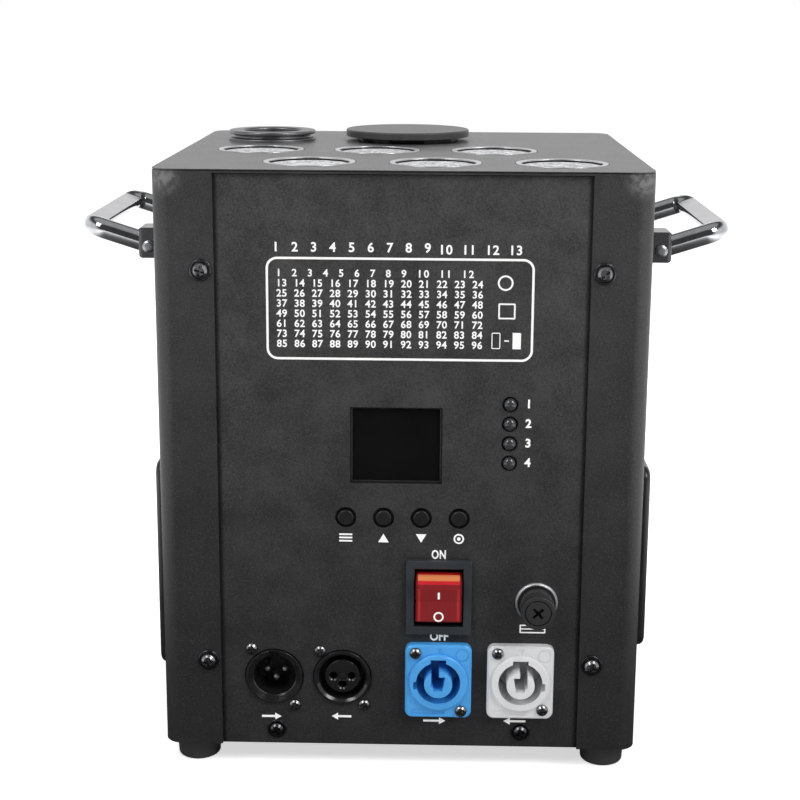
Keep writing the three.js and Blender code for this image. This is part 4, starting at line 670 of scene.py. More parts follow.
# %% [markdown]
# ### Display, lights and push buttons
# The display is a dark glass behind its window, with a slightly lighter frame moulded round it. The four lights are
# smoked domes in a column, and the push buttons are black caps with a round edge that catches one bright arc.

# %% Display
x, z = spot_of("display_module")
width, height = window_size
glass = moulded(width + 2 * BEZEL, height + 2 * BEZEL, 1, rounded([(0, -9.4), (0, -2.0, 0.3), (2.2, -2.0)],
                                                                 closed=False), 3, x, z)
piece("display_glass", on_panel(glass), display_glass, replaces=["display_module"])
rim = moulded(width + 0.6, height + 0.6, 1, rounded([(0, -2.1), (0, -1.6, 0.1), (0.9, -1.6, 0.2), (1.3, -2.1)]), 3,
              x, z, closed=True)
piece("display_rim", on_panel(rim), black_plastic)
print("display window", np.round(window_size, 1))

# %% Indicator lights
DOME_RADIUS, DOME_FOOT, DOME_RISE = 2.5, 0.1, 1.9
dome = [(DOME_RADIUS, -4.0), (DOME_RADIUS, DOME_FOOT)]
dome += [(DOME_RADIUS * math.cos(a), DOME_FOOT + DOME_RISE * math.sin(a)) for a in
         np.linspace(0.12, math.pi / 2, 9)[:-1]] + [(0, DOME_FOOT + DOME_RISE)]
lights = [turned([(0, -4.0)] + dome, 40, closed=False, x=light_x, y=height) for height in light_heights]
light_bar = block((light_x - 3.5, lights_low[2], -9.4), (light_x + 3.5, lights_high[2], -4.2))
piece("lights_column", on_panel(both(*lights, light_bar)), smoked_lens, replaces=["indicator_lights"])
print("lights at heights", np.round(light_heights, 1))

# %% Push buttons
for button in BUTTONS:
    x, z = spot_of(button)
    cap = lathe([(0, -3.0), (4.9, -3.0), (4.9, -1.8), (3.1, -1.8), (3.1, 0.7, 0.5), (0, 0.7)], 56, x, z)
    piece(button.replace("button", "push_button"), on_panel(cap), black_plastic, body=button, replaces=[button])
print("display, lights and buttons done")

# %% [markdown]
# ### The mains switch
# A slate frame snaps into the panel, and a red rocker tilts in it with its upper end out. Seen from a little above,
# the rocker's slanted upper end face is the bright band at the top: its thin wall lets the lamp behind it through, so
# it looks orange there, and that light is painted into its colour. The front face has fine upright ribs between two
# plain borders, painted as stripes of light and shade, and carries the bar of ON and the ring of OFF.

# %% Switch frame
SURROUND, SURROUND_LINE, SURROUND_FACE, BAY = (26.1, 31.0), 3.3, 2.2, -13
frame_profile = rounded([(0, 0), (0, SURROUND_FACE, 0.28), (SURROUND_LINE, SURROUND_FACE, 0.35), (SURROUND_LINE, BAY),
                         (1.8, BAY), (1.8, 0)])
bay_floor = block((switch_x - 11, switch_z - 13.2, BAY - 1), (switch_x + 11, switch_z + 13.2, BAY))
piece("switch_surround", on_panel(both(
    moulded(*SURROUND, 0.7, frame_profile, 4, switch_x, switch_z, closed=True), bay_floor)),
    slate_plastic, replaces=["switch_frame"])
print("switch at", np.round((switch_x, switch_z), 1))

# %% Rocker
PIVOT_DEPTH, TILT, ROCKER_HALF = -2.9, math.radians(9), 9.2
level = rounded([(8.6, 7.58, 0.35), (10.5, 0.83, 0.3), (2.5, -6, 0.5), (-2.5, -6, 0.5), (-10.5, 0.83, 0.3),
                 (-8.6, 7.58, 0.35), (0, 6.3, 3)])


def rocker_rings(inset_shares):
    """The rocker's side profile (up, out about its pivot), tilted by h cos t - o sin t and o cos t + h sin t, and
    repeated across its width. The first and last rings are drawn in a little, so the side edges are round."""
    up, out = level.T
    rings = []
    for across, inset in inset_shares:
        small = 1 - inset / 9
        h, o = up * small, out * small
        rings.append(np.column_stack([np.full(len(h), switch_x + across),
                                      switch_z + h * math.cos(TILT) - o * math.sin(TILT),
                                      PIVOT_DEPTH + o * math.cos(TILT) + h * math.sin(TILT)]))
    return rings


edge_steps = [(-ROCKER_HALF, 0.4), (-ROCKER_HALF + 0.12, 0.12), (-ROCKER_HALF + 0.4, 0)]
side_steps = edge_steps + [(0, 0)] + [(-across, inset) for across, inset in edge_steps[::-1]]
RIB_PITCH, BORDER, END_EDGE, ORANGE_LOW, ORANGE_HIGH, RIBS_TOP = 0.52, 7.4, 7.25, 7.95, 9.6, 4.9
FACE_HALF, FACE_LOW = 8.35, -9.2
red = Finish("red_plastic", Coat_Weight=0.12, Coat_Roughness=0.1, Specular_IOR_Level=0.3)
from_middle = abs(red.parts()[0] - switch_x * MM) / MM
above_pivot = (red.parts()[2] - switch_z * MM) / MM
ribbed = (BORDER - from_middle).between(0, 0.15) * (RIBS_TOP - above_pivot).between(0, 0.15)
ribs = (from_middle * (2 * math.pi / RIB_PITCH)).sine() * 0.5 + 0.5
# The ribs are painted as stripes of light and shade, besides their bump, and the plain part above them is drawn
# darker.
face = red.mix(ribbed * (0.55 + 0.45 * ribs), srgb(178, 36, 42), srgb(122, 22, 26))
face = red.mix((above_pivot > RIBS_TOP) * 0.6, face, srgb(120, 20, 26))
# Painted light: the slanted upper end face is a bright orange band that turns red again at its top edge.
end_face = red.mix(above_pivot.between(ORANGE_LOW, ORANGE_LOW + 0.35), srgb(206, 34, 46), srgb(228, 138, 86))
end_face = red.mix(above_pivot.between(ORANGE_HIGH - 0.2, ORANGE_HIGH), end_face, srgb(190, 26, 36))
# The rocker's sides and its lower end are drawn a darker red.
outside = (from_middle > FACE_HALF).most(above_pivot < FACE_LOW)
face = red.mix(outside, red.mix(above_pivot > END_EDGE, face, end_face), srgb(112, 14, 20))
red.set(Base_Color=face, Roughness=0.3 + 0.1 * red.noise(300, 2.0))
red_plastic = red.bump(ribs * ribbed, 0.35, 0.00006)
piece("rocker_cap", on_panel(capped(rocker_rings(side_steps))), red_plastic, body="rocker", replaces=["rocker"])
VALLEY, SLOPE = 6.31, 0.149


def on_rocker(form):
    """A flat form, drawn across and up on the rocker's front face, laid on its two slopes and tilted with it."""
    points, faces = form
    x, up, lift = points.T
    out = VALLEY + SLOPE * np.abs(up) + lift
    return np.column_stack([x + switch_x, switch_z + up * math.cos(TILT) - out * math.sin(TILT),
                            PIVOT_DEPTH + out * math.cos(TILT) + up * math.sin(TILT)]), faces


ON_PLACE, OFF_PLACE, MARK_LIFT = 2.95, -6.3, 0.08
bar_of_on = block((-0.42, ON_PLACE - 1.65, 0), (0.42, ON_PLACE + 1.65, MARK_LIFT))
ring_of_off = turned([(1.4, 0), (2.05, 0), (2.05, MARK_LIFT), (1.4, MARK_LIFT)], 56, y=OFF_PLACE)
piece("rocker_marks", on_panel(on_rocker(both(bar_of_on, ring_of_off))), glowing_white_print, body="rocker",
      sharp=60)
print("rocker section has", len(level), "points")

# %% [markdown]
# ### The fuse holder
# A black flange with a bright bevelled ring holds a screw-in cap. The cap's end has a ring groove round a flat disc,
# and a cross recess that stands on its corner.

# %% Fuse holder and cap
fuse_x, fuse_z = spot_of("fuse_holder") + FUSE_SET
holder = lathe([(0, -30), (6.2, -30), (6.2, 0), (8.0, 0), (8.0, 1.0), (7.3, 1.4), (4.6, 1.4, 0.2), (4.6, -28),
                (0, -28)], 64, fuse_x, fuse_z)
piece("fuse_flange", on_panel(holder), black_plastic, replaces=["fuse_holder"])
bezel = turned(rounded([(7.9, 0), (8.5, 0), (8.5, 0.8, 0.15), (7.9, 1.5, 0.15), (7.5, 1.4), (7.9, 0.9)]), 96,
               x=fuse_x, y=fuse_z)
piece("fuse_bezel", on_panel(bezel), silver_rim)
CAP_FACE, CROSS_TURN = 11.9, math.radians(42)
cap = lathe([(0, -3), (2.9, -3), (2.9, -9), (4.2, -9), (4.2, 1.7), (6.75, 1.7, 0.3), (6.9, 11.6, 0.15),
             (6.6, 12.1, 0.15), (5.3, 12.1, 0.12), (5.15, 11.0), (4.95, 11.0), (4.85, CAP_FACE, 0.15),
             (0, CAP_FACE)], 96, fuse_x, fuse_z)
recess = spun(cross(0, 0, CAP_FACE, 5.4, 1.15, 4.0), CROSS_TURN, fuse_x, fuse_z)
piece("fuse_knob", on_panel(cut(cap, recess)), knob_black, body="fuse_carrier", replaces=["fuse_cap"],
      edge=0.07)
print("switch and fuse done")

# %% [markdown]
# ### Control sockets
# Two round sockets carry the control signal. The one with pins is a deep cup with a key notch at its top, and the
# other is a ring with a core inside it that holds three contacts.

# %% Control sockets
def contact_places(x, z, radius=3.65):
    """One contact below the middle and one at each side of it."""
    return [(x, z - radius), (x - radius, z), (x + radius, z)]


x, z = spot_of("control_socket_in") + PIN_SOCKET_SET
cup = lathe([(0, -20), (10.9, -20), (10.9, -3.4), (11.5, -3.4), (11.5, 1.0, 0.22), (10.5, 1.0, 0.22),
             (10.1, 0.2, 0.15), (9.5, 0.2, 0.2), (9.1, -0.5, 0.12), (8.5, -0.9, 0.3), (8.5, -14, 0.3), (0, -14)],
            96, x, z)
key = boolean(block((x - 1.7, z + 6, -12.5), (x + 1.7, z + 10.1, 0.5)),
              [block((x - 2.1, z + 5, -1.2), (x + 2.1, z + 11.2, 3))], "UNION")
cup = cut(cup, key)
piece("pin_socket", on_panel(cup), gloss_black, replaces=["control_socket_in"])
pins = [lathe([(0, -14.2), (1.2, -14.2), (1.2, -6.9, 0.9), (0, -6.6)], 28, *spot) for spot in contact_places(x, z)]
piece("pin_socket_contacts", on_panel(both(*pins)), silver_rim)

x, z = spot_of("control_socket_out")
ring = lathe([(0, -20), (10.9, -20), (10.9, -3.4), (11.5, -3.4), (11.5, 1.0, 0.22), (10.6, 1.0, 0.22),
              (9.5, 0.0, 0.2), (9.3, -10), (7.1, -10), (7.1, -0.8, 0.4), (2.1, -0.8, 0.1), (1.9, -1.1, 0.1),
              (1.4, -1.1, 0.1), (1.2, -0.8, 0.1), (0, -0.8)], 96, x, z)
contacts = [turned([(0, -8), (1.5, -8), (1.5, -1.3), (2.1, -0.7), (2.1, 2), (0, 2)], 40, closed=False, x=px, y=pz)
            for px, pz in contact_places(x, z)]
piece("hole_socket", on_panel(cut(ring, *contacts)), gloss_black, replaces=["control_socket_out"],
      edge=0.1)
print("control sockets done")

# %% [markdown]
# ### Mains sockets
# A locking mains socket has a flat flange with a raised ring round its mouth. An arrow head, a small ring and a long
# recess are pressed into the flange. The mouth has a key notch at the top and one at a side, and inside it stands a
# core with a stepped slot. The blue one brings power in, and the light grey one passes it on.

# %% Mains sockets
FLANGE_FACE, RING_FACE, CORE_FACE = 3.5, 4.9, 6.8
FLANGE_SIZE, MOUTH, CORE = (26.7, 31.2), 8.9, 5.65


def mains_socket(node, name, finish, side):
    x, z = spot_of(node) + MAINS_SET
    flange = moulded(*FLANGE_SIZE, 3, rounded([(0, 0), (0, FLANGE_FACE - 0.8, 0.3), (0.8, FLANGE_FACE, 0.25)],
                                              closed=False), 8, x, z)
    raised = lathe([(0, 1), (11.9, 1), (11.9, RING_FACE - 0.5, 0.2), (11.4, RING_FACE, 0.2), (0, RING_FACE)], 96,
                   x, z)
    barrel = bar(11.6, -24, 1.2, 64, x, z)
    body = boolean(boolean(flange, [raised], "UNION"), [barrel], "UNION")
    notch = np.array([(x - 2.5, z), (x + 2.5, z), (x + 3.2, z + 9.9), (x - 3.2, z + 9.9)])
    mouth = [bar(MOUTH, -12.2, 8, 96, x, z), capped([ring_at(notch, -12), ring_at(notch, 8)]),
             block((min(x, x + side * 10), z - 2.9, -12), (max(x, x + side * 10), z + 0.4, 8))]
    mouth = boolean(boolean(mouth[0], mouth[1:2], "UNION"), mouth[2:], "UNION")
    recess = moulded(13.8, 2.2, 1.05, [(0, FLANGE_FACE - 0.4), (0, 8)], 6, x - 4.2, z - 13.0)
    groove = turned([(2.35, FLANGE_FACE - 0.25), (2.6, FLANGE_FACE - 0.25), (2.6, 8), (2.35, 8)], 48, x=x + 9.5,
                    y=z + 11.6)
    arrow_head = np.array([(x - 0.4, z + 14.2), (x + 0.5, z + 12.5), (x + 1.4, z + 14.2)])
    body = cut(body, mouth, recess, groove, capped([ring_at(arrow_head, FLANGE_FACE - 0.3), ring_at(arrow_head, 8)]))
    core = lathe([(0, -12.4), (CORE, -12.4), (CORE, CORE_FACE, 0.35), (0, CORE_FACE)], 64, x, z)
    upper = sorted([x - side * 0.3, x + side * 2.8])
    lower = np.array([(x - 1.85, z - 2.7), (x + 1.75, z - 2.7), (x + 2.8, z + 3.4), (x - 2.8, z + 3.4)])
    slot_form = boolean(block((upper[0], z - 1, -9), (upper[1], z + 12, 10)),
                        [capped([ring_at(lower, -9), ring_at(lower, 10)])], "UNION")
    piece(name, on_panel(both(body, cut(core, slot_form))), finish, replaces=[node], edge=0.25)


mains_socket("mains_socket_in", "power_in_socket", blue_plastic, -1)
mains_socket("mains_socket_out", "power_out_socket", grey_plastic, 1)
print("mains sockets done")

# %% [markdown]
# ### Screws
# The four large screws that hold the panel are in the CAD model, with a fixed washer under a pan head. The others are
# small fasteners and are made here alone: beside the sockets, at the panel's lower edge and in the front flanges.

# %% Screws
def screw(radius, height, washer, x, z, base=0.0, turn=0.0):
    """A pan head with a cross recess, turned about its axis, as it stands on a washer of the given thickness."""
    face = washer + height
    head = lathe([(0, -2), (radius, -2), (radius, washer + height * 0.45, radius * 0.35), (radius * 0.62, face),
                  (0, face)], 48)
    tool = cross(0, 0, face, radius * 1.35, radius * 0.34, height * 0.85)
    return spun(cut(head, tool), turn, x, z, base)


def washer_ring(inner, outer, thickness, x, z, base=0.0):
    """A flat washer with a small step round it."""
    profile = [(inner, 0), (outer, 0), (outer, thickness, thickness * 0.4), (outer - 0.7, thickness, 0.1),
               (outer - 0.9, thickness * 0.6, 0.1), (inner, thickness * 0.6)]
    return spun(turned(rounded(profile), 56), 0, x, z, base)


HEAD, WASHER = (3.0, 2.1, 0.8), (2.4, 4.25, 0.8)
for number in range(1, 5):
    x, z = spot_of(f"panel_screw_{number}")
    piece(f"flange_screw_{number}", on_panel(screw(*HEAD, x, z, SHEET, 0.3 + number)), bright_nickel,
          replaces=[f"panel_screw_{number}"], edge=0.08)
    piece(f"flange_washer_{number}", on_panel(washer_ring(*WASHER, x, z, SHEET)), dark_nickel)
    front = faced(both(screw(*HEAD, -x, z, 0, number), washer_ring(*WASHER, -x, z)), "front", (0, case_high[1], 0))
    piece(f"front_flange_screw_{number}", front, dark_nickel, edge=0.06)

SMALL_SCREWS = [(-59.9, 40.4, 0), (-42.5, 16.2, 0), (-32.1, 39.8, 0), (-14.3, 16.7, 0),
                *((x, z, FLANGE_FACE) for x, z in [(6.4, 40.8), (24.8, 16.2), (39.4, 41.1), (57.6, 17.1)])]
small = [screw(2.4, 1.5, 0, x, z + foot_z, base, 0.4 * i) for i, (x, z, base) in enumerate(SMALL_SCREWS)]
piece("connector_screws", on_panel(both(*small)), bright_nickel, edge=0.06)
LOWER_SCREWS = [(-50.0, 5.5), (49.2, 5.9)]
lower = [both(screw(2.9, 1.7, 0.6, x, z + foot_z, 0, 0.5), washer_ring(2.3, 3.9, 0.6, x, z + foot_z))
         for x, z in LOWER_SCREWS]
piece("lower_panel_screws", on_panel(both(*lower)), dark_nickel, edge=0.06)
print("screws done")

# %% [markdown]
# ## The top
# A flat black cap closes the hopper, a metal spool is the mouth that the sparks leave through, and six lamps with
# silver rims lie level with the plate. Each lamp is a rim, a can inside it and a ribbed lens.

# %% Hopper cap and spark outlet
x, y = middle_of("hopper_cap")[:2]
cap_top = corners_of("hopper_cap")[1][2]
LID_GAP = 2.0
cap_low = top_z + LID_GAP
cap = lathe([(0, cap_low), (18.4, cap_low), (18.4, cap_low - 7), (20.4, cap_low - 7), (20.4, cap_low),
             (28.2, cap_low, 0.25), (28.2, cap_top, 0.7), (0, cap_top)], 128, x, y)
piece("powder_lid", cap, lid_coat_painted_sheen, body="hopper_cap", replaces=["hopper_cap"])

x, y = middle_of("spark_outlet")[:2]
spool = turned(rounded([(13.25, top_z - 8), (15.2, top_z - 8), (15.2, top_z), (19.8, top_z), (19.8, top_z + 1.2, 0.4),
                        (17.6, top_z + 1.3, 0.6), (17.6, top_z + 2.8, 0.6), (19.8, top_z + 3.0, 0.3),
                        (19.8, top_z + 4.5, 0.6), (13.25, top_z + 4.5, 0.8)]), 128, x=x, y=y)
piece("spark_mouth", spool, mouth_metal, replaces=["spark_outlet"])
print("cap from", round(cap_low, 1), "to", round(cap_top, 1))

# %% Lamps
def lens_profile(depth, radius, ribs=7, rib=0.12):
    """The lens seen in section: rings of half-round ribs, h(r) = rib |sin(pi ribs r / R)|, on a shallow dome."""
    r = np.linspace(radius, 0, ribs * 8 + 1)
    return [(radius, depth - 3), *zip(r, depth + 0.3 * (1 - (r / radius) ** 2) + rib * abs(np.sin(
        np.pi * ribs * r / radius)))]


for lamp in LAMPS:
    x, y = middle_of(lamp)[:2]
    rim = turned(rounded([(18.3, top_z - 1.4), (18.3, top_z + 0.2, 0.2), (16.2, top_z + 0.1, 0.2),
                          (16.0, top_z - 2.2), (16.0, top_z - 7.2), (17, top_z - 7.2), (17, top_z - 3.1),
                          (19.2, top_z - 3.1), (19.2, top_z - 1.6)]), 96, x=x, y=y)
    piece(f"{lamp}_rim", rim, lamp_rim, replaces=[lamp])
    can = lathe([(0, top_z - 21), (17, top_z - 21, 1), (17, top_z - 7.3), (15.9, top_z - 7.2),
                 (15.9, top_z - 4.8), (0, top_z - 4.8)], 72, x, y)
    piece(f"{lamp}_can", can, reflector)
    points, faces = turned([(0, -4.7), *lens_profile(-1.0, 15.9)], 72, closed=False, x=x, y=y)
    piece(f"{lamp}_lens", (points + np.array([0, 0, top_z]), faces), foil)
print("top done:", 2 + 3 * len(LAMPS), "pieces")

# %% [markdown]
# ## Handles
# Each handle is a bail of chromed rod that folds on two pins. Its grip is ground flat on top and brushed, and the
# flat runs out into the round of the rod at each bend. The rod is a circle of points carried along the path, where
# the height of each point is held under the flat: h = min(r sin a, flat).

# %% Handle rods
ROD, SPAN, REACH, BEND = 4.2, 91.0, 25.4, 6.0
RAISE = math.radians(17.7)
GRIP_FLAT, GRIP_END, FLAT_HALF = 1.75, 38.0, 40.5
pin_spots = {side: middle_of(f"{side}_rear_handle_pin") for side in SIDES}


def bail_path():
    """The middle line of a bail, level, from one pin to the other: arms, round bends and the grip, with the
    directions of its tangent."""
    half = SPAN / 2
    arm = np.linspace(-ROD, REACH - BEND, 30)
    angle = np.linspace(0, np.pi / 2, 17)[1:-1]
    grip = np.linspace(BEND - half, half - BEND, 80)
    bend = np.column_stack([REACH - BEND + BEND * np.sin(angle), BEND - half - BEND * np.cos(angle)])
    first = np.concatenate([np.column_stack([arm, np.full(len(arm), -half)]), bend])
    line = np.concatenate([first, np.column_stack([np.full(len(grip), REACH), grip]), (first * (1, -1))[::-1]])
    tangent = np.gradient(line, axis=0)
    return line, tangent / np.linalg.norm(tangent, axis=1)[:, None]


def bail(side, sign):
    line, tangent = bail_path()
    around = np.arange(56) * (2 * np.pi / 56)
    end = np.minimum(line[:, 0] + ROD, ROD) / ROD
    radius = ROD * np.sqrt(np.clip(1 - (1 - end) ** 2, 0.0004, 1))
    outward = np.column_stack([tangent[:, 1], -tangent[:, 0]])
    blend = np.clip((SPAN / 2 - np.abs(line[:, 1])) / (SPAN / 2 - GRIP_END), 0, 1)
    on_grip = (line[:, 0] > REACH - BEND) * blend ** 2 * (3 - 2 * blend)
    flat = ROD - (ROD - GRIP_FLAT) * on_grip
    across = radius[:, None] * np.cos(around)[None]
    height = np.minimum(radius[:, None] * np.sin(around)[None], flat[:, None])
    points = np.stack([line[:, :1] + across * outward[:, :1], line[:, 1:] + across * outward[:, 1:], height], -1)
    raised = np.stack([points[..., 0] * math.cos(RAISE) - points[..., 2] * math.sin(RAISE), points[..., 1],
                       points[..., 0] * math.sin(RAISE) + points[..., 2] * math.cos(RAISE)], -1)
    raised *= (sign, 1, 1)
    raised += (pin_spots[side][0], 0, pin_spots[side][2])
    made = piece(f"{side}_bail", capped(list(raised)), chrome, body=f"{side}_handle", replaces=[f"{side}_handle"])
    made.data.materials.append(brushed_chrome)
    count = len(made.data.polygons)
    normals, centres = np.empty(count * 3, np.float32), np.empty(count * 3, np.float32)
    made.data.polygons.foreach_get("normal", normals)
    made.data.polygons.foreach_get("center", centres)
    up = (sign * -math.sin(RAISE), 0, math.cos(RAISE))
    on_flat = (normals.reshape(-1, 3) @ up > 0.995) & (np.abs(centres.reshape(-1, 3)[:, 1]) < FLAT_HALF * MM)
    made.data.polygons.foreach_set("material_index", on_flat.astype(np.int32))


for side, sign in SIDES.items():
    bail(side, sign)
print("handles done")

# %% [markdown]
# ### Handle posts and pins
# Each post is a small casting with two ears. It is drawn twice, in plan and from the side, and what both drawings
# hold is the casting. The slot between the ears is cut last.

# %% Posts and pins
POST_REACH, POST_WIDTH, POST_BACK, ROOF_RISE = 12.1, 13.0, 3.0, 6.3
POST_DROP, ROOF, GAP_HALF, PIN_HOLE = 4.8, 1.3, 4.5, 1.8
for side, sign in SIDES.items():
    pin_x, _, pin_z = pin_spots[side]
    for end, way in (("rear", -1), ("front", 1)):
        y = way * SPAN / 2
        low, high = pin_z - POST_DROP, pin_z + ROOF_RISE + ROOF
        wall = sign * case_size[0] / 2
        plan_profile = round_rectangle(2 * POST_REACH, POST_WIDTH, 1.7, 8)
        plan = capped([ring_at(plan_profile + (wall, y), low - 1), ring_at(plan_profile + (wall, y), high + 1)])
        view = round_rectangle(2 * POST_REACH, high - low, 1.6, 8)
        points, faces = capped([ring_at(view, -POST_WIDTH), ring_at(view, POST_WIDTH)])
        points = points[:, [0, 2, 1]] + (wall, y, (low + high) / 2)
        casting = boolean(plan, [(points, faces)], "INTERSECT")
        inner = sorted([wall, wall - sign * 20])
        casting = cut(casting, block((inner[0], y - 10, low - 5), (inner[1], y + 10, high + 5)))
        slot_x = sorted([wall + sign * POST_BACK, wall + sign * (POST_REACH + 5)])
        casting = cut(casting, block((slot_x[0], y - GAP_HALF, low - 5),
                                     (slot_x[1], y + GAP_HALF, pin_z + ROOF_RISE)))
        casting = cut(casting, faced(bar(PIN_HOLE, -12, 12, 32), "rear", (pin_x, y, pin_z)))
        stud = faced(bar(3, -6, 1, 32), side, (wall, y, pin_z))
        piece(f"{side}_{end}_clevis", both(casting, stud), dark_nickel, replaces=[f"{side}_{end}_handle_post"],
              edge=0.45, steps=3)
        pin = lathe([(0, -6.5), (1.5, -6.5, 0.3), (1.5, 6.55), (2.6, 6.55, 0.1), (2.5, 7.2, 0.3),
                     (1.5, 7.65, 0.6), (0, 7.7)], 40)
        piece(f"{side}_{end}_hinge_pin", faced(pin, end, (pin_x, y, pin_z)), steel,
              replaces=[f"{side}_{end}_handle_pin"])
print("posts and pins done")

# %% [markdown]
# ## Sides and feet
# The fans blow through black moulded guards with rows of slots, and the machine stands on four rubber feet, each held
# by a screw deep in its recess.

# %% Fan guards
GUARD_DEPTH, GUARD_EDGE, SLOT_HEIGHT, BAR_HEIGHT, GUARD_MARGIN, GUARD_RIB = 10.1, 2.6, 4.6, 4.0, 8.0, 5.0
GUARD_WALL = 2
for side, sign in SIDES.items():
    low, high = corners_of(f"{side}_fan_guard")
    size, (_, y, z) = (high - low)[2], (low + high) / 2
    slope = np.linspace(0, np.pi / 2, 7)
    shape = [(0, 0), *zip(GUARD_EDGE * (1 - np.cos(slope)), GUARD_DEPTH - GUARD_EDGE * (1 - np.sin(slope)))]
    hull = moulded(size, size, 6, shape, 8)
    inside = size - 2 * GUARD_WALL
    hull = cut(hull, moulded(inside, inside, 4, [(0, -2), (0, GUARD_DEPTH - GUARD_WALL)], 8))
    pitch = SLOT_HEIGHT + BAR_HEIGHT
    count = int((size - 2 * GUARD_MARGIN + BAR_HEIGHT) // pitch)
    run = size / 2 - GUARD_MARGIN - GUARD_RIB / 2
    slots = [moulded(run, SLOT_HEIGHT, 1.6, [(0, 2), (0, GUARD_DEPTH + 4)], 5, half * (GUARD_RIB + run) / 2,
                     (row - (count - 1) / 2) * pitch) for row in range(count) for half in (-1, 1)]
    piece(f"{side}_slotted_guard", faced(cut(hull, *slots), side, (sign * case_size[0] / 2, y, z)), black_plastic,
          replaces=[f"{side}_fan_guard"], edge=0.35)
    print(side, "guard with", len(slots), "slots")

# %% Feet
FOOT_OUT, FOOT_BACK = 0.9, 1.8
for end, way in (("rear", -1), ("front", 1)):
    for side, sign in SIDES.items():
        x, y, _ = middle_of(f"{end}_{side}_foot") + (sign * FOOT_OUT, way * FOOT_BACK, 0)
        rubber_form = turned(rounded([(3.6, 0, 0.4), (8.6, 0, 1.2), (9.1, 10.8, 0.5), (3.6, 10.8), (1.6, 10.8),
                                      (1.6, 6), (3.6, 6)]), 72, x=x, y=y)
        piece(f"{end}_{side}_rubber", rubber_form, rubber, replaces=[f"{end}_{side}_foot"])
        points, faces = screw(3.1, 1.8, 0, 0, 0)
        piece(f"{end}_{side}_foot_screw", (points * (1, -1, -1) + (x, y, 6.0), faces), steel)
print("guards and feet done")

# %% [markdown]
# ## Printing
# The panel is screen printed in white. Where such a machine carries words, this one has plain numbers, arrows and
# simple marks, and only the switch keeps ON and OFF. Each mark is a thin solid skin of ink on the panel.

# %% Marks in ink
INK = 0.06


def ink(outline):
    """A flat outline, counterclockwise, as a thin skin."""
    return capped([ring_at(np.array(outline, float), 0), ring_at(np.array(outline, float), INK)])


def stroke(x, z, width, height):
    """An upright or level bar about its middle."""
    return block((x - width / 2, z - height / 2, 0), (x + width / 2, z + height / 2, INK))


def hoop(x, z, radius, line):
    """A ring of ink."""
    return turned([(radius - line, 0), (radius, 0), (radius, INK), (radius - line, INK)], 48, x=x, y=z)


def box_line(x, z, width, height, radius, line):
    """The outline of a rectangle with round corners."""
    return moulded(width, height, radius, [(0, 0), (0, INK), (line, INK), (line, 0)], 8, x, z, closed=True)


def wedge(x, z, size, way):
    """A solid triangle that points up or down."""
    half = size / 2
    corners = [(x - half, z - way * half * 0.85), (x + half, z - way * half * 0.85), (x, z + way * half * 0.85)]
    return ink(corners[::way])


def arrow(x, z, length, way):
    """An arrow across the panel, toward the right or the left."""
    shaft, head, back = 0.45, 1.5, length / 2
    corners = np.array([(-back, -shaft), (back - 2.6, -shaft), (back - 2.6, -head), (back, 0), (back - 2.6, head),
                        (back - 2.6, shaft), (-back, shaft)]) * (way, 1) + (x, z)
    return ink(corners[::way])


def lettered(words, height, x, z, align="CENTER", weight=0.02, spacing=1.0, squeeze=1.0):
    """A line of text whose capitals have the given height, on its left end or its middle, as one skin of ink. The
    squeeze is its width against the letters' own."""
    letters = bpy.data.curves.new("letters", "FONT")
    letters.body, letters.align_x, letters.resolution_u = words, align, 4
    letters.offset, letters.space_character = weight, spacing
    letters.extrude = 0.01
    holder = bpy.data.objects.new("letters", letters)
    bpy.context.scene.collection.objects.link(holder)
    points, faces = form_of(holder)
    points *= MM
    capital = 0.69
    across, up = points[:, 0] * squeeze * height / capital + x, (points[:, 1] / capital - 0.5) * height + z
    return np.column_stack([across, up, np.where(points[:, 2] > 0, INK, 0)]), faces


print("a numeral 1 has", len(lettered("1", 3, 0, 0)[0]), "points")


# %% The number table and its frame
TABLE_X, TABLE_Z, TABLE_WIDTH, TABLE_HEIGHT = -0.83, 191.3, 102.9, 40.2
ROW_TOP, ROW_STEP, ROW_HEIGHT, ROW_LEFT = 205.3, 3.96, 2.75, -48.3
marks = [box_line(TABLE_X, TABLE_Z, TABLE_WIDTH, TABLE_HEIGHT, 4.4, 0.9)]
for row in range(8):
    first = 12 * row + 1
    marks.append(lettered("  ".join(str(number) for number in range(first, first + 12)), ROW_HEIGHT, ROW_LEFT,
                          ROW_TOP - row * ROW_STEP, "LEFT", 0.022, 1.08 if row else 1.3))
marks += [hoop(39.6, 202.0, 3.0, 0.7), box_line(40.3, 191.0, 6.6, 6.2, 0.4, 0.6),
          box_line(36.3, 179.4, 3.4, 6.4, 0.5, 0.35), stroke(40.4, 179.4, 1.8, 0.5), stroke(44.3, 179.4, 3.2, 6.4)]
marks += [lettered("1  2  3  4  5  6  7  8  9", 3.5, -49.6, 215.3, "LEFT", 0.022, 1.25),
          lettered("10  11  12  13", 3.5, 45.9, 214.7, "RIGHT", 0.022, 1.1)]
piece("number_table", on_panel(both(*marks)), glowing_white_print, sharp=60)
print("number table:", len(marks), "marks")

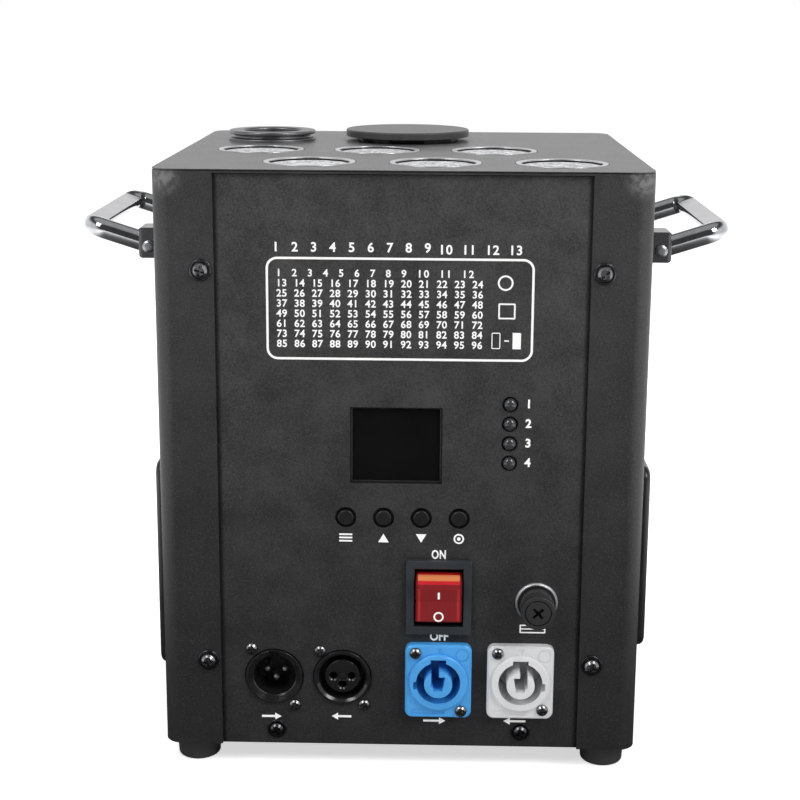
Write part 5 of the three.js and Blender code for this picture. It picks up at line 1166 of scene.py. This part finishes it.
# %% Marks beside the controls
CAPITALS, LIGHT_NUMBERS_X, MARK_Z = 3.5, 48.4, 98.9
marks = [lettered(str(row + 1), 3.3, LIGHT_NUMBERS_X, height + 0.4, "LEFT", 0.03)
         for row, height in enumerate(light_heights)]
button_x = [spot_of(button)[0] for button in BUTTONS]
marks += [stroke(button_x[0], MARK_Z + step * 1.35, 5.2, 0.65) for step in (-1, 0, 1)]
marks += [wedge(button_x[1], MARK_Z, 4.2, 1), wedge(button_x[2], MARK_Z, 4.2, -1),
          hoop(button_x[3], MARK_Z, 2.1, 0.65), bar(0.75, 0, INK, 24, button_x[3], MARK_Z)]
marks += [lettered("ON", CAPITALS, 15.3, 92.3, weight=0.03, spacing=1.1, squeeze=0.7),
          lettered("OFF", CAPITALS, 15.75, 57.65, weight=0.03, squeeze=0.84)]
marks += [arrow(*each) for each in [(-52.1, 21.8, 8, 1), (-23.6, 22.2, 8, -1), (14.2, 20.9, 9, 1),
                                    (46.8, 21.2, 9, -1)]]
marks += [box_line(53.2, 61.3, 10.4, 3.6, 0.3, 0.55), stroke(53.2, 61.3, 9.3, 0.5)]
piece("control_marks", on_panel(both(*marks)), glowing_white_print, sharp=60)
print("beside the controls:", len(marks), "marks")

# %% Outlines of the pressed studs
hexagon = np.array([(math.cos(a), math.sin(a)) for a in np.arange(6) * math.pi / 3])
STUD_PLACES = [(-59.1, 173.1), (57.7, 172.9), (-60.2, 99.3), (58.4, 99.0)]
STUD_OUTER, STUD_INNER, STUD_LOW, STUD_HIGH = 4.04, 3.72, -0.02, 0.05
studs = []
for x, z in STUD_PLACES:
    outer, inner = hexagon * STUD_OUTER + (x, z), hexagon * STUD_INNER + (x, z)
    rings = [ring_at(outer, STUD_LOW), ring_at(outer, STUD_HIGH), ring_at(inner, STUD_HIGH), ring_at(inner, STUD_LOW)]
    studs.append((np.concatenate(rings), quads(4, 6)))
piece("pressed_studs", on_panel(both(*studs)), panel_coat)
print("printing done")

# %% [markdown]
# ## Inner pieces
# The pieces that stay as the CAD model has them get their finishes here: the tray, the front panel, the hopper and
# its feed, the heating tube and its winding, the blower, the fans behind the guards, the board, the supply and the
# fuse.

# %% Finishes of the CAD pieces that stay
INNER = {
    "front_panel": panel_coat, "base_plate": black_coat, "powder_hopper": hopper_steel, "feed_auger": steel,
    "feed_motor": dark_nickel, "heating_tube": heated_steel, "heater_coil": copper_winding,
    "blower_housing": galvanised_sheet, "blower_impeller": black_plastic, "control_board": circuit_board,
    "power_supply": galvanised_sheet, "fuse": fuse_glass,
    **{f"{side}_fan_{part}": black_plastic for side in SIDES for part in ("frame", "rotor")},
}
for node, finish in INNER.items():
    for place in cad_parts[node].material_slots:
        place.material = finish
print("kept CAD pieces:", len(INNER))

# %% [markdown]
# ## The picture
# The camera was solved from the places of known points, such as the corners of the case, the screws and the sockets.
# It looks a little down on the machine from about 0.7 metres. The room is white, as in a product picture: a
# broad light hangs over the machine, and two tall soft boxes stand beside the camera. What metal and glass mirror is
# white behind and beside the machine, and dimmer overhead and in front of it, where the camera stands.

# %% Camera
PITCH, YAW, ROLL = math.radians(12.35), math.radians(-1.31), math.radians(0.34)
EYE = Vector((0.0127, -0.6694, 0.3052))
forward = Vector((math.sin(YAW) * math.cos(PITCH), math.cos(YAW) * math.cos(PITCH), -math.sin(PITCH)))
right = Vector((math.cos(YAW), -math.sin(YAW), 0)).normalized()
upward = right.cross(forward)
across = math.cos(ROLL) * right + math.sin(ROLL) * upward
upright = math.cos(ROLL) * upward - math.sin(ROLL) * right
lens = bpy.data.cameras.new("camera")
lens.sensor_width, lens.lens, lens.shift_x, lens.shift_y = 36, 69.68, 0, -0.06875
lens.clip_start = 0.01
camera = bpy.data.objects.new("camera", lens)
camera.matrix_world = Matrix.Translation(EYE) @ Matrix((across, upright, -forward)).transposed().to_4x4()
bpy.context.scene.collection.objects.link(camera)
bpy.context.scene.camera = camera
print("camera at", tuple(round(value, 3) for value in EYE))


# %% Lights
def soft_light(name, place, aim, size, power, mirrored=True):
    light = bpy.data.lights.new(name, "AREA")
    light.shape, light.size, light.size_y, light.energy = "RECTANGLE", *size, power
    holder = bpy.data.objects.new(name, light)
    holder.visible_glossy = mirrored
    direction = Vector(aim) - Vector(place)
    holder.matrix_world = Matrix.Translation(place) @ direction.to_track_quat("-Z", "Y").to_matrix().to_4x4()
    bpy.context.scene.collection.objects.link(holder)


MACHINE, BOX_SIZE = (0, -0.05, 0.16), (0.35, 0.6)
soft_light("top_light", (0.0, 0.15, 1.3), (0, 0.05, 0.15), (1.2, 0.9), 11.0, mirrored=False)
soft_light("left_box", (-0.7, -0.75, 1.0), MACHINE, BOX_SIZE, 5.6)
soft_light("right_box", (0.75, -0.7, 0.95), MACHINE, BOX_SIZE, 7.4)
print("lights:", len(bpy.data.lights))

# %% Room and floor
BACK_WALL, DIM_WALL, CEILING, DIFFUSE_ROOM = 1.08, 0.06, 0.35, 0.22
world = bpy.data.worlds.new("room")
world.use_nodes = True
bpy.context.scene.world = world
room = Finish.__new__(Finish)
room.tree = world.node_tree
background = room.tree.nodes["Background"]
rays = room.node("ShaderNodeLightPath").socket.node.outputs
camera_ray, glossy_ray, through_ray = (Wire(room, rays[name]) for name in (
    "Is Camera Ray", "Is Glossy Ray", "Is Transmission Ray"))
direction = room.node("ShaderNodeTexCoord", output="Generated")
split = room.node("ShaderNodeSeparateXYZ", {}, {0: direction}).socket.node.outputs
sideways, toward_back, skyward = abs(Wire(room, split[0])), Wire(room, split[1]), Wire(room, split[2])
walls = toward_back.between(0.1, 0.6).most(0.8 * sideways.between(0.5, 0.85))
mirrored = (DIM_WALL + (BACK_WALL - DIM_WALL) * walls * (1 - skyward.between(0.35, 0.75))
            + CEILING * skyward.between(0.75, 0.92))
strength = (camera_ray + through_ray).least(1.0)
strength = strength + (1 - strength) * (glossy_ray * mirrored + (1 - glossy_ray) * DIFFUSE_ROOM)
background.inputs["Color"].default_value = (1, 1, 1, 1)
room.feed(background.inputs["Strength"], strength)

FLOOR_HALF, FLOOR_TOP = 3000, -0.05
points, faces = block((-FLOOR_HALF, -FLOOR_HALF, -2), (FLOOR_HALF, FLOOR_HALF, FLOOR_TOP))
floor_mesh = bpy.data.meshes.new("floor")
floor_mesh.from_pydata((points * MM).tolist(), [], faces)
ground = bpy.data.objects.new("floor", floor_mesh)
bpy.context.scene.collection.objects.link(ground)
paper = Finish("white_paper", Roughness=0.9, Specular_IOR_Level=0.1, Emission_Strength=1.0)
across_floor, along_floor, _ = paper.parts()
away = (across_floor ** 2 + along_floor ** 2) ** 0.5
rays = paper.node("ShaderNodeLightPath").socket.node.outputs
seen, mirrored = Wire(paper, rays["Is Camera Ray"]), Wire(paper, rays["Is Glossy Ray"])
behind, beside = along_floor.between(0.1, 0.3), abs(across_floor).between(0.2, 0.42)
glow = seen * (0.62 + 0.38 * away.between(0.13, 0.2)) + mirrored * (0.6 * behind).most(0.65 * beside)
white = paper.mix(paper.noise(3.0).between(0.2, 0.8), srgb(238, 238, 238), srgb(244, 244, 244))
in_front = mirrored * (1 - behind.most(beside))
paper.set(Base_Color=paper.mix(in_front, white, srgb(70, 70, 70)),
          Emission_Color=paper.mix(glow, (0, 0, 0, 1), (1, 1, 1, 1)))
floor_mesh.materials.append(paper.material)
print("mirrored: walls", BACK_WALL, "behind,", DIM_WALL, "in front, ceiling", CEILING)

# %% Colours are shown as written
view = bpy.context.scene.view_settings
view.view_transform = "Standard"
print("lights, room and floor done")

# %% [markdown]
# ## Sizes
# The dressed machine keeps to the box of the CAD model within a fifth of a millimetre, apart from the screws in the
# front flanges, whose heads stand out by almost three.

# %% The count of pieces
bpy.context.view_layer.update()
print("pieces:", len(made_pieces))
